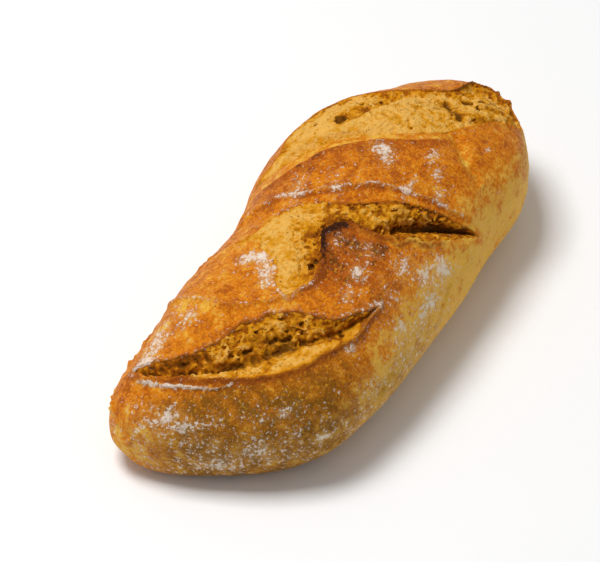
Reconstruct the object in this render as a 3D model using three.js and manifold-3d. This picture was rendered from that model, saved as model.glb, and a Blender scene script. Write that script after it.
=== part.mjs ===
// A short, broad spelt baguette: one solid loaf, slashed three times across the top, with the crust torn
// open along each slash and at one tip. Millimetres, +Z up. X runs along the loaf, and the origin is under
// the middle of its box, on the surface that the loaf was baked on.
//
// A place on the crust is [x, angle]: x along the loaf, and the angle in degrees round it, 0 along the top
// and growing towards -Y.
import * as THREE from "three";
import { mergeVertices } from "three/addons/utils/BufferGeometryUtils.js";
import Module from "manifold-3d";

// The loaf at even stations from one tip to the other
const LENGTH = 260;
const SPINE = [15.5, -5.5, -7.5, -6.5, 1.5, 6, 2.5, 3];
const HALF_WIDTH = [47.5, 52.5, 52.5, 50.5, 54.5, 54, 50.5, 43.5];
const HEIGHT = [56, 61, 67, 70.5, 71.5, 73, 68, 65];

// The rounding of the tips and of the cross-section
const TIP_BLUNTNESS = 3.5;
const BELLY_SHARE = 0.42;
const BASE_PRESS = 1.25;
const SIDE_ROUNDING = 0.9;
const TOP_ROUNDING = 0.95;

// How finely the crust is faceted: the top is finer than the base
const RINGS = 54;
const TOP_COLUMNS = 36;
const BASE_COLUMNS = 8;
const TOP_REACH = 112;

// Where the dough swelled between the slashes: middle, reach along and round the loaf, and rise
const SWELLS = [
  { at: [-88, 62], reach: [30, 30], rise: 2 },
  { at: [-80, -32], reach: [16, 24], rise: 3.5 },
  { at: [-30, 36], reach: [26, 20], rise: 3.5 },
  { at: [20, -8], reach: [14, 34], rise: 3.5 },
  { at: [48, 48], reach: [14, 22], rise: 2 },
  { at: [84, 56], reach: [20, 22], rise: 3 },
];

// Each slash is the tear between two lips. Its section goes from the near lip to the far lip as pairs of
// [share of the way across, share of the depth]. Past 0 or 1 it runs in under a lip.
const SLASH_STEPS = 30;
const CUT_CLEARANCE = 9;
const SLASHES = [
  {
    near: [[-112, -47], [-114, -19], [-104, 14], [-91, 30], [-68, 41], [-57, 46], [-36, 45]],
    far: [[-112, -47], [-106, -22], [-96, -7], [-78, -1], [-67, 8], [-59, 26], [-36, 45]],
    section: [[0, -0.12], [0.02, 0.12], [0.3, 0.5], [0.6, 1], [0.84, 0.85], [1.06, 0.4], [1, -0.12]],
    depth: 12,
    crag: 1.3,
  },
  {
    near: [
      [-46, -48], [-37, -30], [-44, -10], [-57, -1], [-57, 8], [-44, 12],
      [-26, 4], [-13, 5], [-7, 18], [11, 43], [30, 62], [48, 78],
    ],
    far: [[-46, -48], [-32, -33], [-18, -28], [-6, -10], [7, 11], [22, 35], [35, 58], [48, 78]],
    section: [[0, -0.12], [-0.1, 0.45], [0.12, 0.85], [0.42, 0.75], [0.72, 0.5], [0.97, 0.22], [1, -0.12]],
    depth: 10,
    crag: 0.9,
  },
  {
    near: [
      [-2, -62], [0, -43], [11, -26], [26, -12], [40, 0], [52, 14],
      [64, 25], [79, 24], [92, 30], [102, 46], [109, 60],
    ],
    far: [
      [-2, -62], [18, -47], [42, -56], [67, -48], [78, -28],
      [90, -9], [98, 4], [106, 16], [109, 34], [109, 60],
    ],
    section: [
      [0, -0.12], [0.02, 0.15], [0.15, 0.5], [0.32, 0.4], [0.5, 0.08],
      [0.62, 0.6], [0.8, 1], [0.97, 0.6], [1, -0.12],
    ],
    depth: 9,
    crag: 0.8,
  },
];

// Raised edges: ears that stand behind a lip and lean over its slash, and folds of crust that don't lean
const EDGE_STEPS = 13;
const EDGE_ROOT = 3.5;
const EDGE_FOOT = -0.4;
const EDGES = [
  { line: [[-50, 11], [-40, 11], [-26, 4], [-13, 5], [-7, 18], [6, 38]], width: 5, rise: 3.5, lean: 2.5 },
  { line: [[6, 38], [20, 53], [34, 66]], width: 4, rise: 1.5, lean: 1 },
  { line: [[-113, -36], [-113, -10], [-104, 14], [-91, 30], [-68, 41]], width: 4, rise: 1.3, lean: 0.6 },
  { line: [[-118, -28], [-115, -5], [-110, 12], [-104, 22]], width: 3, rise: 1.2, lean: 0.4 },
  { line: [[-78, -50], [-76, -29], [-72, -10], [-63, 4], [-52, 10]], width: 9, rise: 1.4, lean: 0 },
  { line: [[-26, -60], [-13, -36], [2, -6], [16, 14], [30, 42], [42, 68]], width: 7, rise: 1.6, lean: -0.6 },
  { line: [[4, -40], [18, -19], [34, -6], [48, 9], [60, 21]], width: 5, rise: 1.4, lean: 0.8 },
  { line: [[72, -36], [80, -24], [90, -9], [99, 4]], width: 6, rise: 2.2, lean: -2 },
  { line: [[104, 14], [110, 24], [109, 36], [107, 46]], width: 5, rise: 2, lean: -1.5 },
];

// Bubbles that the tear opened: place, depth of the middle below the crust, and half-axes along X, Y and Z
const BUBBLES = [
  { at: [-77, 20], sunk: 12, radii: [7, 5, 5] },
  { at: [-89, 9], sunk: 11, radii: [6, 4, 4] },
  { at: [16, 45], sunk: 7, radii: [11, 6, 4] },
  { at: [49, -24], sunk: 4, radii: [6, 5, 5] },
  { at: [84, 8], sunk: 4, radii: [5, 3, 4] },
  { at: [103, 12], sunk: 3, radii: [4, 4, 4] },
];

const CRUST_COLOUR = "#bd7a26";
const CRUST_ROUGHNESS = 0.5;

const wasm = await Module();
wasm.setup();

// A smooth curve through values at even stations, for u from -1 to 1
function along(values, u) {
  const last = values.length - 1;
  const t = ((u + 1) / 2) * last;
  const i = Math.min(Math.floor(t), last - 1);
  const k = t - i;
  const before = values[Math.max(i - 1, 0)];
  const after = values[Math.min(i + 2, last)];
  const startSlope = i === 0 ? values[1] - values[0] : (values[i + 1] - before) / 2;
  const endSlope = i === last - 1 ? values[last] - values[i] : (after - values[i]) / 2;
  const start = values[i] * (1 + 2 * k) * (1 - k) ** 2 + startSlope * k * (1 - k) ** 2;
  const end = values[i + 1] * k * k * (3 - 2 * k) - endSlope * k * k * (1 - k);
  return start + end;
}

// A repeatable rough value from -1 to 1 for a pair of whole numbers
function crag(i, j) {
  const wave = Math.sin(i * 127.1 + j * 311.7) * 43758.5453;
  return 2 * (wave - Math.floor(wave)) - 1;
}

function swellAt(x, angle) {
  let rise = 0;
  for (const swell of SWELLS) {
    const dx = (x - swell.at[0]) / swell.reach[0];
    const da = (angle - swell.at[1]) / swell.reach[1];
    rise += swell.rise * Math.exp(-dx * dx - da * da);
  }
  return rise;
}

// The point of the uncut crust at a place, raised by some height
function crustPoint([x, angle], height = 0) {
  const u = THREE.MathUtils.clamp(x / (LENGTH / 2), -1, 1);
  const tip = Math.sqrt(1 - Math.abs(u) ** TIP_BLUNTNESS);
  const turn = THREE.MathUtils.degToRad(angle);
  const side = Math.sin(turn);
  const up = Math.cos(turn);
  const belly = BELLY_SHARE * along(HEIGHT, u);
  const half = along(HALF_WIDTH, u) * tip;
  const above = (along(HEIGHT, u) - belly) * tip ** 0.8;
  const below = BASE_PRESS * belly * tip ** 0.4;
  const y = along(SPINE, u) - half * Math.sign(side) * Math.abs(side) ** SIDE_ROUNDING;
  const z = up > 0 ? belly + above * up ** TOP_ROUNDING : belly + below * up;
  const lift = height + (up > 0 ? swellAt(x, angle) : 0);
  return new THREE.Vector3(x, y - lift * side, Math.max(z + lift * up, 0));
}

// Rings of points, one after another, joined into a closed skin with a point at each end
function loft(rings) {
  const count = rings[0].length;
  const middle = (ring) => ring.reduce((sum, p) => sum.add(p), new THREE.Vector3()).divideScalar(count);
  const points = [...rings.flat(), middle(rings[0]), middle(rings[rings.length - 1])];
  const start = points.length - 2;
  const end = points.length - 1;
  const triangles = [];
  for (let j = 0; j < count; j++) {
    const next = (j + 1) % count;
    triangles.push(start, next, j);
    for (let i = 0; i + 1 < rings.length; i++) {
      const near = i * count;
      const far = near + count;
      triangles.push(near + j, near + next, far + next, near + j, far + next, far + j);
    }
    const lastRing = (rings.length - 1) * count;
    triangles.push(end, lastRing + j, lastRing + next);
  }
  const geometry = new THREE.BufferGeometry().setFromPoints(points);
  geometry.setIndex(triangles);
  return geometry;
}

function toSolid(geometry) {
  const bare = geometry.clone();
  bare.deleteAttribute("normal");
  bare.deleteAttribute("uv");
  const welded = mergeVertices(bare, 1e-4);
  const vertProperties = new Float32Array(welded.attributes.position.array);
  const triVerts = new Uint32Array(welded.index.array);
  return new wasm.Manifold(new wasm.Mesh({ numProp: 3, vertProperties, triVerts }));
}

function toGeometry(solid) {
  const mesh = solid.getMesh();
  const geometry = new THREE.BufferGeometry();
  geometry.setAttribute("position", new THREE.BufferAttribute(mesh.vertProperties, 3));
  geometry.setIndex(new THREE.BufferAttribute(mesh.triVerts, 1));
  geometry.computeVertexNormals();
  return geometry;
}

// A line over the crust as evenly spaced places
function placesAlong(line, steps) {
  const curve = new THREE.SplineCurve(line.map((place) => new THREE.Vector2(...place)));
  return curve.getSpacedPoints(steps).map((point) => [point.x, point.y]);
}

function between(near, far, share) {
  return [THREE.MathUtils.lerp(near[0], far[0], share), THREE.MathUtils.lerp(near[1], far[1], share)];
}

// The whole loaf before it was slashed. Rings crowd towards the tips, so that the ends stay round.
function uncutLoaf() {
  const angles = [];
  for (let j = 0; j < TOP_COLUMNS; j++) {
    angles.push(-TOP_REACH + (2 * TOP_REACH * j) / TOP_COLUMNS);
  }
  for (let j = 0; j < BASE_COLUMNS; j++) {
    angles.push(TOP_REACH + ((360 - 2 * TOP_REACH) * j) / BASE_COLUMNS);
  }
  const rings = [];
  for (let i = 1; i < RINGS; i++) {
    const t = (2 * i) / RINGS - 1;
    const x = (LENGTH / 2) * t * (1.5 - 0.5 * t * t);
    rings.push(angles.map((angle) => crustPoint([x, angle])));
  }
  return loft(rings);
}

// What a slash takes away: a craggy trough below the crust, closed by a roof well above it
function slashTrough({ near, far, section, depth, crag: roughness }, seed) {
  const nearLip = placesAlong(near, SLASH_STEPS);
  const farLip = placesAlong(far, SLASH_STEPS);
  const rings = [];
  for (let k = 1; k < SLASH_STEPS; k++) {
    const open = Math.sin((Math.PI * k) / SLASH_STEPS) ** 0.5;
    const ring = section.map(([share, sunk], j) => {
      const rough = sunk > 0.3 ? roughness * crag(k + seed, j) : 0;
      return crustPoint(between(nearLip[k], farLip[k], share), -sunk * depth * open + rough * open);
    });
    ring.push(crustPoint(farLip[k], CUT_CLEARANCE), crustPoint(nearLip[k], CUT_CLEARANCE));
    rings.push(ring);
  }
  return loft(rings);
}

// A raised edge: a low ridge rooted under the crust, highest in the middle of its line
function raisedEdge({ line, width, rise, lean }) {
  const places = placesAlong(line, EDGE_STEPS);
  const points = places.map((place) => crustPoint(place));
  const rings = [];
  for (let k = 1; k < EDGE_STEPS; k++) {
    const swell = Math.sin((Math.PI * k) / EDGE_STEPS) ** 0.5;
    const ahead = points[k + 1].clone().sub(points[k - 1]).normalize();
    const up = crustPoint(places[k], 1).sub(points[k]).normalize();
    const across = ahead.clone().cross(up).normalize();
    const place = (sideways, height) =>
      points[k].clone().addScaledVector(across, -sideways).addScaledVector(up, height);
    const half = (width / 2) * (0.4 + 0.6 * swell);
    const root = -Math.sign(lean) * half;
    const tip = root + lean * swell;
    const top = rise * swell;
    rings.push([
      place(root - half, -EDGE_ROOT),
      place(root + half, -EDGE_ROOT),
      place(root + half, EDGE_FOOT),
      place(tip + half * 0.45, top * 0.85),
      place(tip - half * 0.2, top),
      place(root - half, EDGE_FOOT),
    ]);
  }
  return loft(rings);
}

function openBubble({ at, sunk, radii }) {
  const middle = crustPoint(at, -sunk);
  const ball = new THREE.IcosahedronGeometry(1, 2);
  ball.scale(...radii);
  ball.translate(middle.x, middle.y, middle.z);
  return ball;
}

// Cut the slashes and bubbles out of the loaf, then set the raised edges on it
let loaf = toSolid(uncutLoaf());
SLASHES.forEach((slash, index) => {
  loaf = loaf.subtract(toSolid(slashTrough(slash, 40 * index)));
});
for (const edge of EDGES) {
  loaf = loaf.add(toSolid(raisedEdge(edge)));
}
for (const bubble of BUBBLES) {
  loaf = loaf.subtract(toSolid(openBubble(bubble)));
}

const crust = new THREE.MeshStandardMaterial({
  color: CRUST_COLOUR,
  roughness: CRUST_ROUGHNESS,
  metalness: 0,
});
const loafMesh = new THREE.Mesh(toGeometry(loaf), crust);
loafMesh.name = "loaf";

const baguette = new THREE.Group();
baguette.add(loafMesh);
export default baguette;
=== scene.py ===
# %% [markdown]
# # A floured spelt baguette
# The loaf is one piece of bread. It was slashed three times before it was baked, and the dough burst
# through each slash, so pale crumb shows between dark, torn lips of crust. Two kinds of mesh stand for it
# here. The crust is drawn over the loaf's own surface, because it is a skin with folds and lips. The crumb
# is grown as a volume, because only a volume can have pores and caves in it.
# Lengths are millimetres while shapes are worked out, and metres once they become meshes.

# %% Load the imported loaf
import math

import bmesh
import bpy
import numpy as np
import openvdb
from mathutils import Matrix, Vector


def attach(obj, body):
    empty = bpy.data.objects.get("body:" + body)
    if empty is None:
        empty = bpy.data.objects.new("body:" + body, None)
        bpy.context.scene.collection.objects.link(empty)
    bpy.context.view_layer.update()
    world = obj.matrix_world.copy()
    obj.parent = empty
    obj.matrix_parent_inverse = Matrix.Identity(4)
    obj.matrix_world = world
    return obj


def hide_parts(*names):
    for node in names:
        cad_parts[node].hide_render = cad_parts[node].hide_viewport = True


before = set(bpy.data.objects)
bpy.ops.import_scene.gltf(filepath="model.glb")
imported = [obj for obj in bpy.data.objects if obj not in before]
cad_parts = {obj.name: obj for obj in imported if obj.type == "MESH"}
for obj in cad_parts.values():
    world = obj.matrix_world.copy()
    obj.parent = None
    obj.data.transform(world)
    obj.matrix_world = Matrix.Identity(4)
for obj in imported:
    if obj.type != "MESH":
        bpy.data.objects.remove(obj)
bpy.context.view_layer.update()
MM = 0.001

# %% [markdown]
# ## Camera
# The photograph looks down on the loaf at 42 degrees, from beyond its near tip. A long lens from two metres
# keeps the far tip nearly as large as the near one. The camera is turned a little off the loaf's middle,
# so the framing needs no lens shift.

# %% Camera
VIEW_AZIMUTH = -56.14
VIEW_ELEVATION = 42.0
VIEW_DISTANCE = 2.0
LENS = 275.9
LOAF_MIDDLE = Vector((0, 0.0022, 0.030))
AIM_RIGHT = -0.01383
AIM_UP = -0.00592


def view_axes(azimuth, elevation):
    """Unit vectors towards the camera, to its right and up, for a view of the loaf."""
    a = math.radians(azimuth)
    e = math.radians(elevation)
    back = Vector((math.sin(a) * math.cos(e), -math.cos(a) * math.cos(e), math.sin(e)))
    right = Vector((math.cos(a), math.sin(a), 0))
    return back, right, back.cross(right)


back, right, up = view_axes(VIEW_AZIMUTH, VIEW_ELEVATION)
lens = bpy.data.cameras.new("camera")
lens.lens = LENS
lens.sensor_width = 36
lens.clip_end = 20
camera = bpy.data.objects.new("camera", lens)
camera.location = LOAF_MIDDLE + back * VIEW_DISTANCE
aim = LOAF_MIDDLE + right * AIM_RIGHT + up * AIM_UP
camera.rotation_euler = (aim - camera.location).to_track_quat("-Z", "Y").to_euler()
bpy.context.scene.collection.objects.link(camera)
bpy.context.scene.camera = camera
print("camera at", [round(c, 3) for c in camera.location])

# %% [markdown]
# ## Light and floor
# The photograph is lit softly from above and behind, a little from the left: the tops of the folds are
# bright, and the near tip and the right side fall into a gentle shade. One wide area light does that, with
# a pale world for fill. Several small lamps could do it too, but their shadows would cross. The floor is
# plain and nearly white.

# %% Light and floor
KEY_FROM = Vector((-0.25, 0.40, 1.50))
KEY_SIZE = 0.6
KEY_POWER = 19.5
FILL_STRENGTH = 0.38
FLOOR_WHITE = (0.92, 0.92, 0.92, 1)


def area_light(name, place, size, power):
    lamp = bpy.data.lights.new(name, "AREA")
    lamp.size = size
    lamp.energy = power
    holder = bpy.data.objects.new(name, lamp)
    holder.location = place
    holder.rotation_euler = (LOAF_MIDDLE - place).to_track_quat("-Z", "Y").to_euler()
    bpy.context.scene.collection.objects.link(holder)
    return holder


area_light("key", KEY_FROM, KEY_SIZE, KEY_POWER)
world = bpy.data.worlds.new("studio")
world.use_nodes = True
world.node_tree.nodes["Background"].inputs["Color"].default_value = (1, 1, 1, 1)
world.node_tree.nodes["Background"].inputs["Strength"].default_value = FILL_STRENGTH
bpy.context.scene.world = world
bpy.context.scene.view_settings.view_transform = "Standard"

floor_mesh = bpy.data.meshes.new("floor")
floor_mesh.from_pydata([(-8, -8, 0), (8, -8, 0), (8, 8, 0), (-8, 8, 0)], [], [(0, 1, 2, 3)])
floor = bpy.data.objects.new("floor", floor_mesh)
bpy.context.scene.collection.objects.link(floor)
floor_paint = bpy.data.materials.new("floor")
floor_paint.use_nodes = True
floor_paint.node_tree.nodes["Principled BSDF"].inputs["Base Color"].default_value = FLOOR_WHITE
floor_paint.node_tree.nodes["Principled BSDF"].inputs["Roughness"].default_value = 0.9
floor_mesh.materials.append(floor_paint)
print("stage: key light, world and floor")

# %% [markdown]
# ## The form of the loaf
# Dough on a tray settles into a round section with a flat base. The section's middle line, half width and
# height are given at eight even stations from the near tip to the far one, and run smoothly between them.
# A place on the crust is x along the loaf and an angle round it: 0 along the top, growing towards -Y. The
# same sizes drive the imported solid, so this surface lies on it. The form could be sculpted by hand instead,
# but a formula can be asked for the surface, the normal and the depth at any place.

# %% The form of the loaf
LENGTH = 260.0
SPINE = (15.5, -5.5, -7.5, -6.5, 1.5, 6.0, 2.5, 3.0)
HALF_WIDTH = (47.5, 52.5, 52.5, 50.5, 54.5, 54.0, 50.5, 43.5)
HEIGHT = (56.0, 61.0, 67.0, 70.5, 71.5, 73.0, 68.0, 65.0)
TIP_BLUNTNESS = 3.5
BELLY_SHARE = 0.42
BASE_PRESS = 1.25
SIDE_ROUNDING = 0.9
TOP_ROUNDING = 0.95
TOP_AT_TIP = 0.8
BASE_AT_TIP = 0.4


def along(values, u):
    """A smooth curve through values at even stations, for u from -1 to 1."""
    values = np.asarray(values, float)
    last = len(values) - 1
    t = (u + 1) / 2 * last
    i = np.clip(np.floor(t).astype(int), 0, last - 1)
    k = t - i
    slope = np.gradient(values)
    start = values[i] * (1 + 2 * k) * (1 - k) ** 2 + slope[i] * k * (1 - k) ** 2
    end = values[i + 1] * k * k * (3 - 2 * k) - slope[i + 1] * k * k * (1 - k)
    return start + end


def section(x):
    """Middle line, half width, belly height, rise above it and drop below it at each x."""
    u = np.clip(x / (LENGTH / 2), -1, 1)
    tip = np.sqrt(1 - np.abs(u) ** TIP_BLUNTNESS)
    height = along(HEIGHT, u)
    belly = BELLY_SHARE * height
    above = (height - belly) * tip ** TOP_AT_TIP
    below = BASE_PRESS * belly * tip ** BASE_AT_TIP
    return along(SPINE, u), along(HALF_WIDTH, u) * tip, belly, above, below


def bare_surface(x, angle):
    """Points of the loaf's smooth surface, before any fold or slash."""
    spine, half, belly, above, below = section(x)
    side = np.sin(np.radians(angle))
    rise = np.cos(np.radians(angle))
    y = spine - half * np.sign(side) * np.abs(side) ** SIDE_ROUNDING
    z = belly + np.where(rise > 0, above * np.abs(rise) ** TOP_ROUNDING, below * rise)
    return np.stack([x, y, np.maximum(z, 0)], axis=-1)


def bare_normals(x, angle, reach=0.4):
    """Outward unit normals of the smooth surface."""
    limit = LENGTH / 2 - 0.02
    x = np.clip(x, -limit, limit)
    round_it = bare_surface(x, angle + reach) - bare_surface(x, angle - reach)
    ahead = bare_surface(np.minimum(x + reach, limit), angle)
    ahead -= bare_surface(np.maximum(x - reach, -limit), angle)
    normal = np.cross(round_it, ahead)
    return normal / np.maximum(np.linalg.norm(normal, axis=-1, keepdims=True), 1e-9)


top = bare_surface(np.linspace(-130, 130, 9), np.zeros(9))[:, 2]
print("height along the top, mm:", np.round(top, 1))

# %% [markdown]
# ## Roughness that repeats
# Bread is uneven at every scale. A lattice of hashed values, blended smoothly, gives the same roughness on
# every run, and adding it at several sizes gives lumps, wrinkles and grit. Blender's own noise textures
# could do it in a modifier, but here the same values are also needed for voxels.

# %% Roughness that repeats
def lattice_value(ix, iy, iz, seed):
    """A repeatable value from -1 to 1 for whole-number places."""
    mixed = ix * 374761393 + iy * 668265263 + iz * 2147483647 + seed * 1274126177
    mixed = (mixed ^ (mixed >> 13)) * 1274126177
    mixed = mixed ^ (mixed >> 16)
    return (mixed & 0xFFFFF) / 0x7FFFF - 1


def rough(points, size, seed):
    """Smooth noise from -1 to 1 at points, with lumps of the given size."""
    scaled = np.asarray(points, float) / size
    cell = np.floor(scaled).astype(np.int64)
    part = scaled - cell
    part = part * part * (3 - 2 * part)
    total = np.zeros(scaled.shape[:-1])
    for corner in range(8):
        step = np.array([corner & 1, corner >> 1 & 1, corner >> 2 & 1])
        weight = np.prod(np.where(step, part, 1 - part), axis=-1)
        total += weight * lattice_value(*np.moveaxis(cell + step, -1, 0), seed)
    return total


def layered(points, sizes, heights, seed):
    """Several sizes of noise added up."""
    return sum(h * rough(points, s, seed + n) for n, (s, h) in enumerate(zip(sizes, heights)))


def ease(value):
    """A smooth step from 0 to 1."""
    value = np.clip(value, 0, 1)
    return value * value * (3 - 2 * value)


def ramp(value, start, run):
    """0 up to a start, 1 after the run that follows it. A run below 0 goes the other way."""
    return ease((value - start) / run)


def bell(distance, reach):
    """1 at a distance of 0, fading on both sides over a reach."""
    return np.exp(-((distance / reach) ** 2))


sample = rough(np.random.default_rng(1).uniform(0, 50, (1000, 3)), 5, 1)
print("roughness spreads by", round(float(sample.std()), 2))

# %% [markdown]
# ## Lines drawn on the crust
# Lips, folds and creases are lines over the crust. Spread flat, a place is x by the arc round the loaf, in
# millimetres. A line is a smooth curve through a few places, cut into short steps and made ragged where the
# crust tore. For any vertex we can then ask how far the line is, how far along it the nearest point lies,
# and on which side. Curve objects could hold such lines, but arrays answer for all vertices at once.

# %% Lines drawn on the crust
ARC = 0.95
LINE_STEP = 0.6
COARSE = 6
RAGGED_SIZES = (9, 3.5, 1.6)
RAGGED_SHARES = (1, 0.7, 0.4)
RAGGED_FADE = 6


def flat_line(places, ragged=0.0, seed=0):
    """An evenly stepped curve through [x, angle] places, in the flat plane."""
    knots = np.array(places, float) * (1, ARC)
    shares = np.linspace(-1, 1, 60 * len(knots))
    curve = np.stack([along(knots[:, 0], shares), along(knots[:, 1], shares)], axis=-1)
    lengths = np.concatenate([[0], np.cumsum(np.linalg.norm(np.diff(curve, axis=0), axis=1))])
    steps = np.linspace(0, lengths[-1], max(int(lengths[-1] / LINE_STEP), 8))
    line = np.stack([np.interp(steps, lengths, curve[:, i]) for i in (0, 1)], axis=-1)
    if ragged:
        spots = np.stack([line[:, 0], line[:, 1], np.full(len(line), 7.0)], axis=-1)
        away = [layered(spots, RAGGED_SIZES, RAGGED_SHARES, seed + 20 * i) for i in (0, 1)]
        away = np.stack(away, axis=-1)
        fade = ease(np.minimum(steps, lengths[-1] - steps) / RAGGED_FADE)
        line = line + ragged * away * fade[:, None]
    return line


def nearest(line, plane, reach=40.0):
    """Distance to a line, share along it, and the unit normal to the right of its way, for flat places."""
    start, step = line[:-1], np.diff(line, axis=0)
    squared = np.maximum((step ** 2).sum(1), 1e-9)
    distance = np.full(len(plane), 1e3)
    share = np.zeros(len(plane))
    normal = np.zeros((len(plane), 2))
    low, high = line.min(0) - reach, line.max(0) + reach
    close = np.flatnonzero(((plane > low) & (plane < high)).all(1))
    window = np.arange(-COARSE, COARSE + 1)
    for part in np.array_split(close, max(len(close) // 8000, 1)):
        spots = plane[part]
        coarse = ((spots[:, None] - line[None, ::COARSE]) ** 2).sum(2).argmin(1) * COARSE
        tries = np.clip(coarse[:, None] + window, 0, len(step) - 1)
        offset = spots[:, None] - start[tries]
        t = np.clip((offset * step[tries]).sum(2) / squared[tries], 0, 1)
        gap = ((offset - t[..., None] * step[tries]) ** 2).sum(2)
        rows = np.arange(len(part))
        best = gap.argmin(1)
        chosen = tries[rows, best]
        distance[part] = np.sqrt(gap[rows, best])
        share[part] = (chosen + t[rows, best]) / len(step)
        way = step[chosen] / np.sqrt(squared[chosen])[:, None]
        normal[part] = np.stack([way[:, 1], -way[:, 0]], axis=-1)
    return distance, share, normal


def beside(line, plane, reach=40.0):
    """Distance to a line, positive right of it, and the share along it. Where the line runs towards -Y,
    right is towards +X."""
    distance, share, normal = nearest(line, plane, reach)
    rows = np.clip((share * (len(line) - 1)).round().astype(int), 0, len(line) - 1)
    return np.where(((plane - line[rows]) * normal).sum(1) > 0, distance, -distance), share


def within(loop, plane):
    """Which flat places lie inside a closed loop."""
    inside = np.zeros(len(plane), bool)
    low, high = loop.min(0), loop.max(0)
    close = np.flatnonzero(((plane > low) & (plane < high)).all(1))
    x, y = plane[close].T
    odd = np.zeros(len(close), bool)
    for (x0, y0), (x1, y1) in zip(loop, np.roll(loop, -1, axis=0)):
        crosses = (y0 > y) != (y1 > y)
        rise = y1 - y0 if y1 != y0 else 1e-9
        odd ^= crosses & (x < (x1 - x0) * (y - y0) / rise + x0)
    inside[close] = odd
    return inside


straight = flat_line([(0, 0), (10, 0)])
print("a line of 10 mm has", len(straight), "points")

# %% [markdown]
# ## The three slashes
# Each slash runs slantwise over the top, from the loaf's left side to its right. The dough tore it open
# between a near lip and a far lip. Along each lip we say how far it curls up, how tall its torn wall is, how
# brown the crumb beside it baked and how craggy that crumb is. Between the lips we say where the crevice
# runs and how deep it is, and draw the ridges and gullies of the tear. The values are judged from the
# photograph: the first slash is a deep cave, the second a shallow bay that deepens to a slot, and the third
# a broad tear with a smooth tongue of crumb along its middle, running out to the torn far tip. A boolean
# cut could open a slash as well, but it would leave a clean knife edge, and bread tears.

# %% The three slashes
LIP_SEED = 100
RIDGE_SEED = 150
RIDGE_RAGGED = 0.4


def ridge(line, rise, left, right, roundness=2, **more):
    """A ridge along a line, left and right wide, or a groove where its rise is below 0."""
    return dict(line=line, rise=rise, left=left, right=right, roundness=roundness, **more)


def gully(line, depth, width, dark):
    """A narrow, sharp groove in the crumb with a shaded bottom."""
    return ridge(line, -depth, width, width, roundness=1, dark=dark)


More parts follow.
